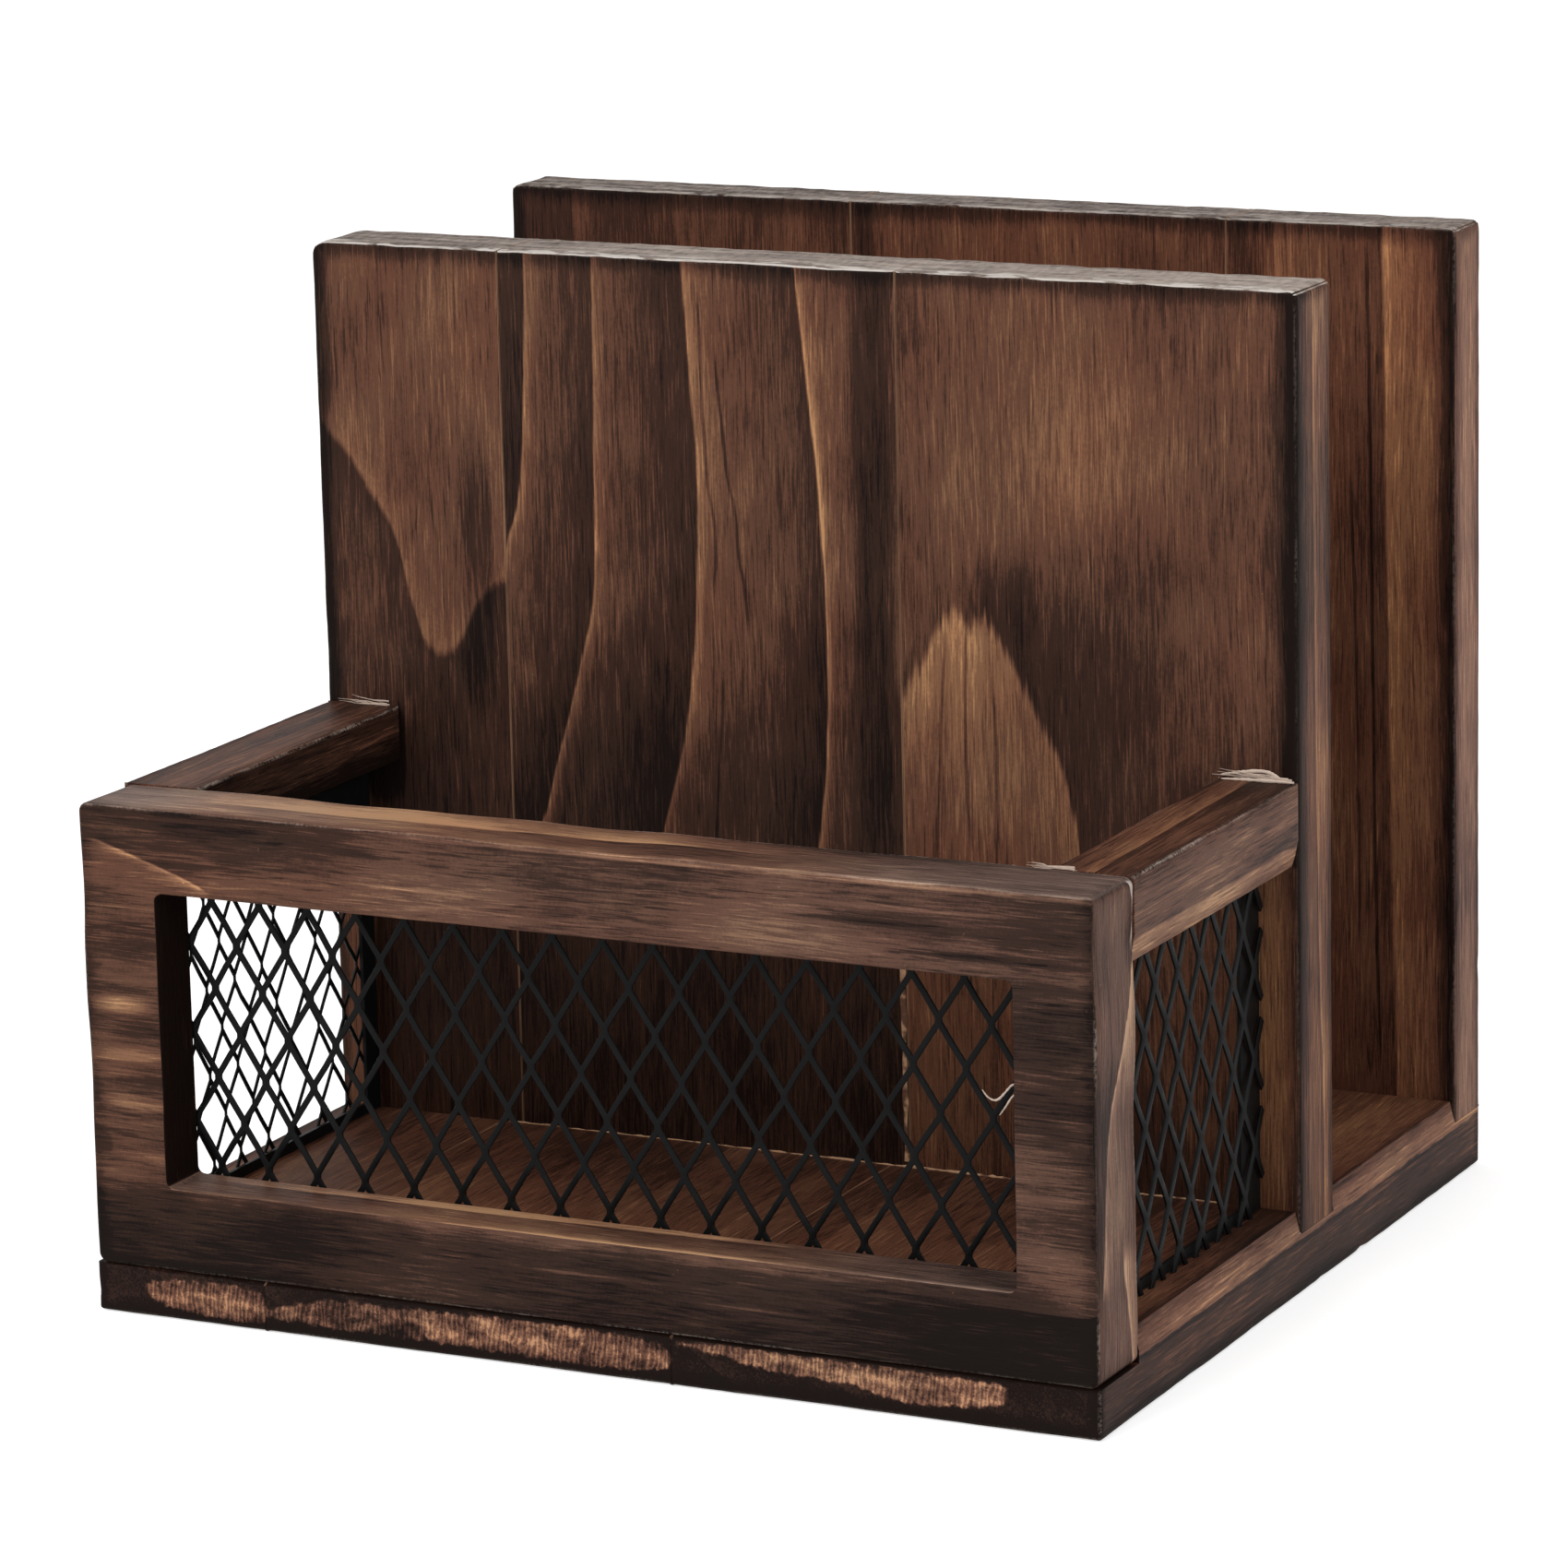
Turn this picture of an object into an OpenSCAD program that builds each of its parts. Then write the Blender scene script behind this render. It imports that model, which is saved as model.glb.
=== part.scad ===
// Tabletop napkin holder: a base, a back panel and a divider with a napkin
// slot between them, and a small basket in front with expanded-metal windows.
// The origin is under the middle of the base. X is the width, the basket
// faces -Y and Z is up.

/* [Overall] */
// Width of the base, the panels and the basket
width = 180; // [140:1:260]
// Height of the divider and of the back panel above the table
height = 166; // [120:1:240]
// Free width of the napkin slot between divider and back panel
napkin_slot = 56.6; // [30:0.2:90]
// Inner depth of the basket, from its front frame to the divider
basket_depth = 66.9; // [45:0.1:110]
// Height of the basket rim above the table
basket_height = 86; // [60:0.5:110]

/* [Boards] */
// Thickness of the base
base_thickness = 14; // [11:0.1:20]
// Thickness of the divider
divider_thickness = 14.8; // [10:0.1:20]
// Thickness of the back panel
back_thickness = 12.2; // [10:0.1:20]
// How deep the divider and the back panel are let into the base
housing_depth = 3.8; // [2:0.1:6]
// How deep the front frame is let into the base
frame_seat_depth = 5.8; // [2:0.1:7]
// Height of the bevel on the side edges of the base
base_bevel_height = 3.8; // [1:0.1:5]
// Width of the bevel on the side edges of the base
base_bevel_width = 0.9; // [0.3:0.1:3]
// Rounding of the sawn arrises
arris = 1.4; // [0.4:0.1:2.4]

/* [Front frame] */
// Thickness of the front frame
frame_thickness = 15; // [12:0.1:20]
// Height of the wood above the window
top_rail_height = 14.2; // [12:0.1:20]
// Height of the wood below the window
bottom_rail_height = 14; // [12:0.1:20]
// Width of the wood at both sides of the window
stile_width = 14; // [12:0.1:20]
// Rounding of the window's corners
window_corner = 2; // [0.5:0.1:4]
// Thickness of the lip in front of the mesh
frame_lip = 10.3; // [6:0.1:10.4]
// How far the mesh rebate reaches past the window
frame_rebate = 4.4; // [3:0.1:6]

/* [Side rails] */
// Width of a side rail
side_rail_width = 13.9; // [11:0.1:20]
// Height of a side rail
side_rail_height = 14.1; // [11:0.1:20]
// Thickness of the lip outside the mesh
side_lip = 5.3; // [4:0.1:8]
// Height of the mesh rebate in a side rail
side_rebate = 5; // [4.5:0.1:8]
// Height of the bevel along the lower outer edge of a side rail
rail_bevel_height = 3.9; // [1:0.1:5]
// Width of the bevel along the lower outer edge of a side rail
rail_bevel_width = 1.2; // [0.3:0.1:3]

/* [Expanded metal] */
// Short pitch of the diamonds, across the sheet
diamond_width = 9; // [7:0.1:14]
// Long pitch of the diamonds, up the sheet
diamond_height = 15; // [12:0.1:24]
// Width of a bond, where four strands meet
bond_width = 1.9; // [1.4:0.1:2.6]
// Length of a bond between the tips of the diamonds above and below it
bond_length = 3.8; // [3:0.1:5]
// Length of the straight side of a bond
bond_side = 2.2; // [1:0.1:2.4]
// Thickness of the metal
metal_thickness = 0.6; // [0.4:0.05:1]
// How far a bond leans out of the sheet to each side
bond_lean = 0.55; // [0.2:0.05:0.8]
// Height of the lowest front bonds above the window's lower edge
front_first_bond = 1.5; // [1:0.1:3]
// Height of the lowest side bonds above the base
side_first_bond = 4.1; // [3:0.1:6]
// Width of the edge strip where the right side sheet meets the divider
right_strip_width = 8; // [4:0.1:12]
// Width of the edge strip where the left side sheet meets the divider
left_strip_width = 4.5; // [4:0.1:12]
// Height of the edge strip where a side sheet stands on the base
edge_strip_height = 1.9; // [1:0.1:4]
// How far the edge strip shows below the left side rail
left_strip_drop = 2.9; // [1:0.1:5]

/* [Fasteners] */
// Diameter of the screws that hold the divider and the back panel
screw_d = 3.5; // [3:0.1:4]
// Length of the screws that hold the divider and the back panel
screw_length = 30; // [22:0.5:45]
// Diameter of their countersunk heads
screw_head_d = 7; // [6:0.1:8]
// Diameter of the screws that hold the front frame
frame_screw_d = 3; // [2.5:0.1:3.5]
// Length of the screws that hold the front frame
frame_screw_length = 17; // [14:0.5:19]
// Diameter of the heads of the frame screws
frame_screw_head_d = 6; // [5:0.1:7]
// Diameter of the headless brads
brad_d = 1.6; // [1:0.1:2]
// Length of the brads at the ends of the side rails
rail_brad_length = 16; // [10:0.5:16]
// Width of a mesh staple between the middles of its legs
staple_width = 3; // [2.8:0.1:4]
// Depth of the staple legs in the wood
staple_bite = 3.6; // [2:0.1:4]
// Side of the square staple wire
staple_wire = 0.6; // [0.4:0.05:0.8]

/* [Hidden] */

// Glue lines between the staves, as shares of the width from the middle
base_seam_shares = [-0.323, 0.089];
divider_seam_shares = [-0.301, 0.109];
back_seam_shares = [-0.125, 0.269];
// Places of the screws, as shares of the width from the middle
screw_shares = [-0.4, -0.055, 0.345];
// Columns that carry a staple at the front, as shares of the half sheet
staple_column_shares = [-0.83, -0.24, 0.24, 0.83];
// Columns that carry a staple at the sides, as shares of the sheet
side_staple_shares = [0.2, 0.75];

// One overrun for all cuts
overrun = 1;
// Play round a brad, a screw or a staple leg in its hole
hole_play = 0.1;
// Play between a mesh sheet and the wood round it
sheet_play = 0.4;
// How far a screw head is sunk below the face
head_sink = 0.5;
// Height of a countersunk head, as a share of its diameter
head_share = 0.5;
// Length of the screw point, as a share of the screw diameter
point_share = 1.5;
// Width of the blunt tip of a screw, as a share of the screw diameter
tip_share = 0.25;
// Steps of a rounded arris
arris_steps = 4;
round_fn = 32;

half_width = width / 2;
depth = frame_thickness + basket_depth + divider_thickness + napkin_slot + back_thickness;
front_y = -depth / 2;
frame_back_y = front_y + frame_thickness;
divider_y = frame_back_y + basket_depth;
slot_y = divider_y + divider_thickness;
back_y = slot_y + napkin_slot;
rear_y = back_y + back_thickness;
housing_z = base_thickness - housing_depth;
frame_z = base_thickness - frame_seat_depth;
window_bottom = frame_z + bottom_rail_height;
window_top = basket_height - top_rail_height;
rail_bottom = basket_height - side_rail_height;
mesh_x = half_width - side_lip;
mesh_y = front_y + frame_lip;

wood_dark = [0.22, 0.16, 0.13];
wood_mid = [0.33, 0.22, 0.16];
wood_warm = [0.42, 0.28, 0.19];
wood_grey = [0.36, 0.31, 0.28];
metal_black = [0.10, 0.10, 0.11];
metal_grey = [0.55, 0.55, 0.56];

// Corner points of a quarter round of radius r about a centre
function round_points(centre, r, from) = [
    for (i = [0 : arris_steps])
        let (a = from + 90 * i / arris_steps)
        centre + r * [cos(a), sin(a)]
];

// A rectangle whose listed corners are rounded: lower left, lower right,
// upper right, upper left
function soft_rectangle(low, high, radii) = concat(
    round_points([low.x + radii[0], low.y + radii[0]], radii[0], 180),
    round_points([high.x - radii[1], low.y + radii[1]], radii[1], 270),
    round_points([high.x - radii[2], high.y - radii[2]], radii[2], 0),
    round_points([low.x + radii[3], high.y - radii[3]], radii[3], 90)
);

// An outline in Y and Z, extruded along X
module along_x(from, to, points) {
    translate([from, 0, 0]) rotate([90, 0, 90])
        linear_extrude(height = to - from) polygon(points);
}

// An outline in X and Z, extruded along Y
module along_y(from, to, points) {
    translate([0, to, 0]) rotate([90, 0, 0])
        linear_extrude(height = to - from) polygon(points);
}

// The part of a board that lies between two glue lines
module stave(index, seams, low_z, high_z) {
    edges = concat([-half_width - overrun], [for (s = seams) s * width], [half_width + overrun]);
    intersection() {
        children();
        translate([edges[index], front_y - overrun, low_z - overrun])
            cube([edges[index + 1] - edges[index], depth + 2 * overrun,
                  high_z - low_z + 2 * overrun]);
    }
}

// A standing panel with rounded top and side arrises
module panel(y, thickness) {
    intersection() {
        along_x(-half_width - overrun, half_width + overrun,
            soft_rectangle([y, housing_z], [y + thickness, height], [0, 0, arris, arris]));
        translate([0, 0, housing_z]) linear_extrude(height = height - housing_z)
            polygon(soft_rectangle([-half_width, y], [half_width, y + thickness],
                [arris, arris, arris, arris]));
    }
}

// A countersunk screw, pointing up, with its head in the plane z = 0
module screw(d, head_d, length, play) {
    r = d / 2 + play;
    head_r = head_d / 2 + play;
    head_h = head_d * head_share;
    point_h = d * point_share;
    rotate_extrude($fn = round_fn) polygon([
        [0, 0], [head_r, 0], [r, head_h], [r, length - point_h],
        [d * tip_share + play, length + play], [0, length + play]
    ]);
}

// The hole for such a screw, open below its head
module screw_hole(d, head_d, length) {
    translate([0, 0, head_sink]) screw(d, head_d, length, hole_play);
    translate([0, 0, -overrun]) cylinder(h = overrun + head_sink, r = head_d / 2 + hole_play,
        $fn = round_fn);
}

module at_panel_screws() {
    for (y = [divider_y + divider_thickness / 2, back_y + back_thickness / 2])
        for (s = screw_shares) translate([s * width, y, 0]) children();
}

module at_frame_screws() {
    for (s = screw_shares)
        translate([s * width, front_y + frame_lip / 2, 0]) children();
}

module panel_screw_holes() {
    at_panel_screws() screw_hole(screw_d, screw_head_d, screw_length);
}

module frame_screw_holes() {
    at_frame_screws() screw_hole(frame_screw_d, frame_screw_head_d, frame_screw_length);
}

// Brads across both ends of the side rails
module rail_brad_set(play) {
    brad_z = (basket_height + rail_bottom + side_rebate) / 2;
    for (side = [-1, 1])
        for (y = [frame_back_y, divider_y])
            translate([side * (half_width - side_rail_width / 2),
                       y - rail_brad_length / 2 - play, brad_z])
                rotate([-90, 0, 0])
                    cylinder(h = rail_brad_length + 2 * play, d = brad_d + 2 * play,
                        $fn = round_fn);
}

module base_board() {
    top_points = [
        [-half_width, 0], [half_width, 0],
        [half_width, base_thickness - base_bevel_height],
        [half_width - base_bevel_width, base_thickness],
        [-half_width + base_bevel_width, base_thickness],
        [-half_width, base_thickness - base_bevel_height]
    ];
    difference() {
        intersection() {
            along_y(front_y, rear_y, top_points);
            linear_extrude(height = base_thickness)
                polygon(soft_rectangle([-half_width, front_y], [half_width, rear_y],
                    [arris, arris, arris, arris]));
        }
        translate([-half_width - overrun, front_y - overrun, frame_z])
            cube([width + 2 * overrun, frame_thickness + overrun, frame_seat_depth + overrun]);
        translate([-half_width - overrun, divider_y, housing_z])
            cube([width + 2 * overrun, divider_thickness, housing_depth + overrun]);
        translate([-half_width - overrun, back_y, housing_z])
            cube([width + 2 * overrun, back_thickness + overrun, housing_depth + overrun]);
        panel_screw_holes();
        frame_screw_holes();
    }
}

module base_stave(index) {
    color(index == 1 ? wood_warm : wood_mid)
        stave(index, base_seam_shares, 0, base_thickness) base_board();
}

module divider_stave(index) {
    color(index == 1 ? wood_warm : wood_dark)
        stave(index, divider_seam_shares, housing_z, height) difference() {
            panel(divider_y, divider_thickness);
            panel_screw_holes();
            rail_brad_set(hole_play);
        }
}

module back_stave(index) {
    color(index == 1 ? wood_mid : wood_warm)
        stave(index, back_seam_shares, housing_z, height) difference() {
            panel(back_y, back_thickness);
            panel_screw_holes();
        }
}

// The rebate that holds the front mesh, behind the lip of the frame
module front_rebate() {
    translate([-half_width + stile_width - frame_rebate, mesh_y, window_bottom - frame_rebate])
        cube([width - 2 * (stile_width - frame_rebate), frame_thickness - frame_lip + overrun,
              window_top - window_bottom + 2 * frame_rebate]);
}

// The front frame, cut from one board
module front_frame() {
    window_half = half_width - stile_width;
    color(wood_dark) difference() {
        intersection() {
            along_x(-half_width, half_width,
                soft_rectangle([front_y, frame_z], [frame_back_y, basket_height],
                    [0, 0, 0, arris]));
            translate([0, 0, frame_z]) linear_extrude(height = basket_height - frame_z)
                polygon(soft_rectangle([-half_width, front_y], [half_width, frame_back_y],
                    [arris, arris, 0, 0]));
        }
        along_y(front_y - overrun, frame_back_y + overrun,
            soft_rectangle([-window_half, window_bottom], [window_half, window_top],
                [window_corner, window_corner, window_corner, window_corner]));
        front_rebate();
        rail_brad_set(hole_play);
        frame_screw_holes();
        staple_set(hole_play);
    }
}

// The right side rail; the left one is its mirror image
module side_rail() {
    inner_x = half_width - side_rail_width;
    outline = concat(
        [[half_width, rail_bottom + rail_bevel_height]],
        round_points([half_width - arris, basket_height - arris], arris, 0),
        round_points([inner_x + arris, basket_height - arris], arris, 90),
        [[inner_x, rail_bottom + side_rebate], [mesh_x, rail_bottom + side_rebate],
         [mesh_x, rail_bottom], [half_width - rail_bevel_width, rail_bottom]]
    );
    along_y(frame_back_y, divider_y, outline);
}

module left_side_rail() {
    color(wood_mid) difference() {
        mirror([1, 0, 0]) side_rail();
        rail_brad_set(hole_play);
        staple_set(hole_play);
    }
}

module right_side_rail() {
    color(wood_grey) difference() {
        side_rail();
        rail_brad_set(hole_play);
        staple_set(hole_play);
    }
}

// Expanded metal. Columns are half a diamond apart and rows half a diamond
// high, with a bond at every other crossing. A bond is a leaning hexagon:
// tip, two points on its right side, foot, two points on its left side.
half_pitch = diamond_width / 2;
half_rise = diamond_height / 2;
sheet_depth = metal_thickness + 2 * bond_lean;
corner_x = [0, 1, 1, 0, -1, -1];
corner_y = [
    bond_length / 2, bond_side / 2, -bond_side / 2,
    -bond_length / 2, -bond_side / 2, bond_side / 2
];
corners = len(corner_x);

// The four strands of a bond: step to the next bond, the two corners where
// the strand leaves and the two corners of the next bond where it arrives
strands = [
    [[1, 1], [1, 0], [3, 4]],
    [[1, -1], [3, 2], [5, 0]],
    [[-1, -1], [4, 3], [0, 1]],
    [[-1, 1], [0, 5], [2, 3]]
];

function corner_point(centre, k, face) = [
    centre.x + corner_x[k] * bond_width / 2,
    centre.y + corner_y[k],
    -corner_x[k] * bond_lean + face * metal_thickness / 2
];

function is_bond(m, r, cols, rows, shift) =
    m >= 0 && m < cols && r >= 0 && r < rows && (m + r + shift) % 2 == 0;

function bonds_before(m, rows, shift) =
    let (full = shift == 0 ? ceil(m / 2) : floor(m / 2))
    full * ceil(rows / 2) + (m - full) * floor(rows / 2);

// How much of a cut strand is left between its start and the cut edges
longest_stub_share = 0.85;
function strand_share(start, run, low, high) = min(
    longest_stub_share,
    (run.x > 0 ? high.x - start.x : start.x - low.x) / abs(run.x),
    (run.y > 0 ? high.y - start.y : start.y - low.y) / abs(run.y)
);

// A flat sheet of cols by rows crossings; first is the crossing 0, 0, and
// low and high are the corners of the cut sheet
module expanded_sheet(first, cols, rows, shift, low, high) {
    places = [
        for (m = [0 : cols - 1]) for (r = [0 : rows - 1])
            if (is_bond(m, r, cols, rows, shift)) [m, r]
    ];
    function centre(p) = [first.x + p[0] * half_pitch, first.y + p[1] * half_rise];
    function start(p) = 2 * corners * (bonds_before(p[0], rows, shift) + floor(p[1] / 2));
    bond_points = [
        for (p = places) for (face = [1, -1]) for (k = [0 : corners - 1])
            corner_point(centre(p), k, face)
    ];
    stubs = [
        for (p = places) for (s = strands)
            if (!is_bond(p[0] + s[0].x, p[1] + s[0].y, cols, rows, shift)) [p, s]
    ];
    stub_points = [
        for (stub = stubs) for (face = [1, -1]) for (e = [0, 1])
            let (
                from = corner_point(centre(stub[0]), stub[1][1][e], face),
                to = corner_point(centre(stub[0] + stub[1][0]), stub[1][2][e], face),
                run = to - from
            )
            from + run * strand_share(from, run, low, high)
    ];
    bond_faces = [
        for (p = places) let (b = start(p), c = corners)
            each [
                [b, b + 1, b + 2, b + 3, b + 4, b + 5],
                [b + c + 5, b + c + 4, b + c + 3, b + c + 2, b + c + 1, b + c],
                [b + 2, b + 1, b + c + 1, b + c + 2],
                [b + 5, b + 4, b + c + 4, b + c + 5]
            ]
    ];
    strand_faces = [
        for (p = places) for (s = strands)
            if (s[0].x > 0 && is_bond(p[0] + s[0].x, p[1] + s[0].y, cols, rows, shift))
                let (
                    b = start(p), n = start(p + s[0]), c = corners,
                    f0 = b + s[1][0], f1 = b + s[1][1], t0 = n + s[2][0], t1 = n + s[2][1]
                )
                each [
                    [f0, f1, t1, t0],
                    [t0 + c, t1 + c, f1 + c, f0 + c],
                    [t1, f1, f1 + c, t1 + c],
                    [f0, t0, t0 + c, f0 + c]
                ]
    ];
    stub_start = len(bond_points);
    stub_faces = [
        for (i = [0 : len(stubs) - 1])
            let (
                b = start(stubs[i][0]), c = corners,
                f0 = b + stubs[i][1][1][0], f1 = b + stubs[i][1][1][1],
                e0 = stub_start + 4 * i, e1 = e0 + 1, k0 = e0 + 2, k1 = e0 + 3
            )
            each [
                [f0, f1, e1, e0],
                [k0, k1, f1 + c, f0 + c],
                [e1, f1, f1 + c, k1],
                [f0, e0, k0, f0 + c],
                [e0, e1, k1, k0]
            ]
    ];
    polyhedron(points = concat(bond_points, stub_points),
        faces = concat(bond_faces, strand_faces, stub_faces));
}

front_half = half_width - stile_width + frame_rebate - sheet_play;
front_reach = floor((front_half - bond_width / 2) / half_pitch);
front_low = window_bottom - frame_rebate + sheet_play;
front_high = window_top + frame_rebate - sheet_play;
front_first = window_bottom + front_first_bond;
front_rows = 1 + floor((front_high - front_first - bond_length / 2) / half_rise);

module front_mesh() {
    color(metal_black) translate([0, mesh_y + sheet_depth / 2, 0]) rotate([90, 0, 0])
        expanded_sheet([-front_reach * half_pitch, front_first], 2 * front_reach + 1,
            front_rows, front_reach % 2, [-front_half, front_low], [front_half, front_high]);
}

side_high = rail_bottom + side_rebate - sheet_play;
side_first = base_thickness + side_first_bond;
side_cols = floor((basket_depth - sheet_play - bond_width / 2) / half_pitch);
side_rows = 1 + floor((side_high - side_first - bond_length / 2) / half_rise);

// The right side sheet, laid out forwards from the divider
module side_mesh() {
    translate([mesh_x - sheet_depth / 2, divider_y, 0]) rotate([90, 0, -90])
        expanded_sheet([half_pitch, side_first], side_cols, side_rows, 1,
            [sheet_play, base_thickness], [basket_depth - sheet_play, side_high]);
}

module left_mesh() {
    color(metal_black) mirror([1, 0, 0]) side_mesh();
}

module right_mesh() {
    color(metal_black) side_mesh();
}

// The edge strip inside the right side sheet, along the divider and along the
// base; with a drop it runs along the rail as well, below the staples
module mesh_edge(strip_width, drop) {
    strip_x = mesh_x - sheet_depth - metal_thickness;
    long_y = divider_y - strip_width;
    low = base_thickness + edge_strip_height;
    high = rail_bottom + side_rebate / 2 - staple_wire / 2 - sheet_play;
    upper = drop == 0 ? [] : [
        [long_y, high], [frame_back_y, high],
        [frame_back_y, rail_bottom - drop], [long_y, rail_bottom - drop]
    ];
    translate([strip_x, 0, 0]) rotate([90, 0, 90]) linear_extrude(height = metal_thickness)
        polygon(concat(
            [[frame_back_y, base_thickness], [divider_y, base_thickness],
             [divider_y, side_high], [long_y, side_high]],
            upper,
            [[long_y, low], [frame_back_y, low]]
        ));
}

module left_mesh_edge() {
    color(metal_black) mirror([1, 0, 0]) mesh_edge(left_strip_width, left_strip_drop);
}

module right_mesh_edge() {
    color(metal_black) mesh_edge(right_strip_width, 0);
}

module panel_screws() {
    color(metal_grey) at_panel_screws() translate([0, 0, head_sink])
        screw(screw_d, screw_head_d, screw_length, 0);
}

module frame_screws() {
    color(metal_grey) at_frame_screws() translate([0, 0, head_sink])
        screw(frame_screw_d, frame_screw_head_d, frame_screw_length, 0);
}

module rail_brads() {
    color(metal_grey) rail_brad_set(0);
}

// A staple over one strand: its crown lies on the sheet in the plane z = 0
// and its legs point down
module staple(play) {
    side = staple_wire + 2 * play;
    leg = sheet_depth + staple_bite + play;
    translate([-staple_width / 2 - side / 2, -side / 2, -play])
        cube([staple_width + side, side, side]);
    for (x = [-staple_width / 2, staple_width / 2])
        translate([x - side / 2, -side / 2, -leg]) cube([side, side, leg]);
}

// The nearest column to a place that has a bond in the row
function near_column(place, row, shift) =
    let (m = floor(place)) (m + row + shift) % 2 == 0 ? m : m + 1;

// Where the strand that leaves a bond towards the wood crosses a height
function strand_shift(rise) = half_pitch * rise / half_rise;

module staple_set(play) {
    low_z = window_bottom - frame_rebate / 2;
    high_z = window_top + frame_rebate / 3;
    last = front_first + (front_rows - 1) * half_rise;
    for (s = staple_column_shares)
        for (end = [0, 1])
            let (
                row = end * (front_rows - 1),
                m = near_column(front_reach * (1 + s), row, front_reach % 2),
                z = end == 0 ? low_z : high_z,
                rise = end == 0 ? front_first - low_z : high_z - last
            )
            translate([(m - front_reach) * half_pitch + strand_shift(rise),
                       mesh_y + sheet_depth, z])
                rotate([-90, 0, 0]) staple(play);
    side_last = side_first + (side_rows - 1) * half_rise;
    side_z = rail_bottom + side_rebate / 2;
    for (side = [-1, 1])
        for (s = side_staple_shares)
            let (m = near_column(side_cols * s, side_rows - 1, 1))
            translate([side * (mesh_x - sheet_depth),
                       divider_y - half_pitch * (m + 1) - strand_shift(side_z - side_last),
                       side_z])
                rotate([0, -90 * side, 0]) rotate([0, 0, 90]) staple(play);
}

module mesh_staples() {
    color(metal_grey) staple_set(0);
}

base_stave(0);  // base_stave_left
base_stave(1);  // base_stave_centre
base_stave(2);  // base_stave_right
divider_stave(0);  // divider_stave_left
divider_stave(1);  // divider_stave_centre
divider_stave(2);  // divider_stave_right
back_stave(0);  // back_stave_left
back_stave(1);  // back_stave_centre
back_stave(2);  // back_stave_right
front_frame();
left_side_rail();
right_side_rail();
front_mesh();
left_mesh();
right_mesh();
left_mesh_edge();
right_mesh_edge();
panel_screws();
frame_screws();
rail_brads();
mesh_staples();
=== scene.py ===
"""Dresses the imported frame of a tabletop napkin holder: torched pine boards, black
expanded-metal windows and zinc fasteners, on a plain pale stage."""

import math
import random

import bmesh
import bpy
import numpy as np
from bpy.props import FloatProperty, FloatVectorProperty, PointerProperty
from mathutils import Matrix, Vector


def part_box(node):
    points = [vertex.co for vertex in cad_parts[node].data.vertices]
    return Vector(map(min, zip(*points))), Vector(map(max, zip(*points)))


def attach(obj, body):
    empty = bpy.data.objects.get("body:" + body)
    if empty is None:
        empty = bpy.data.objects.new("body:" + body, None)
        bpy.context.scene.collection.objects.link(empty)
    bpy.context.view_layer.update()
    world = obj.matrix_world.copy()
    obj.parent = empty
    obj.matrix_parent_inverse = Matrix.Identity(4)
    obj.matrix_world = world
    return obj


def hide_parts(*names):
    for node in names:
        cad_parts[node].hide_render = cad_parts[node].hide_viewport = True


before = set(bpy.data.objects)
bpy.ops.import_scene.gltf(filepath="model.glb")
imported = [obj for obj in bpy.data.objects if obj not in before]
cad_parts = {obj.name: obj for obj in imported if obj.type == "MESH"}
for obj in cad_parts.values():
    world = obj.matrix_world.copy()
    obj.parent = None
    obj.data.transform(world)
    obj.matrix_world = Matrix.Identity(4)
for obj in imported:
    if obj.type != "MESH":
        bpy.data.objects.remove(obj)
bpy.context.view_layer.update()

bl_info = {
    "name": "Napkin holder of torched pine",
    "version": (1, 0, 0),
    "blender": (4, 5, 0),
    "location": "View3D > Sidebar > Napkin holder",
    "description": "Boards, expanded metal, fasteners and stage of a tabletop napkin holder",
    "category": "Object",
}

MM = 0.001
STAVES = ("left", "centre", "right")


def srgb(red, green, blue):
    """A linear colour from the three numbers, 0 to 255, that a painter would write."""
    return tuple(
        c / 12.92 if c <= 0.04045 else ((c + 0.055) / 1.055) ** 2.4
        for c in (red / 255, green / 255, blue / 255)
    )


def colour_property(name, about, value):
    return FloatVectorProperty(
        name=name, description=about, subtype="COLOR", size=3, min=0, max=1, default=srgb(*value)
    )


def length_property(name, about, value):
    return FloatProperty(
        name=name, description=about, default=value * MM, min=0, max=1, unit="LENGTH",
        subtype="DISTANCE",
    )


def place_property(name, about, value):
    return FloatVectorProperty(
        name=name, description=about, subtype="TRANSLATION", unit="LENGTH", default=value
    )


class WoodFinish(bpy.types.PropertyGroup):
    """Colours of the torched pine, from its char to its bare streaks."""

    char: colour_property("Char", "Burnt arrises and darkest latewood", (22, 14, 11))
    dark: colour_property("Dark", "Torched bands", (54, 36, 29))
    middle: colour_property("Middle", "Main tone of the faces", (95, 64, 50))
    warm: colour_property("Warm", "Lighter earlywood", (130, 93, 69))
    bare: colour_property("Bare", "Edges of the rings that the flame left", (185, 138, 97))
    # This colour is lighter and greyer than bare end grain: it carries the painted sheen of the
    # top edges
    sawn_and_sheen: colour_property("Sawn", "Sawn end grain of the top edges", (186, 170, 158))
    glue: colour_property("Glue", "Torn fibres and dried glue", (180, 140, 108))
    chip: colour_property("Chip", "Pale chips of the top edges", (226, 218, 210))
    fibre_depth: length_property("Fibre depth", "Depth of the brushed fibres", 0.12)


class BoardSizes(bpy.types.PropertyGroup):
    """How the boards are eased and how finely they are meshed."""

    arris: length_property("Arris", "Rounding of the outer arrises", 0.8)
    seam: length_property("Seam", "Rounding beside a glue line", 0.16)
    hollow: length_property("Hollow", "Unevenness of the planed faces", 0.1)
    grid: length_property("Grid", "Distance between mesh lines on a face", 2.6)


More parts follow.
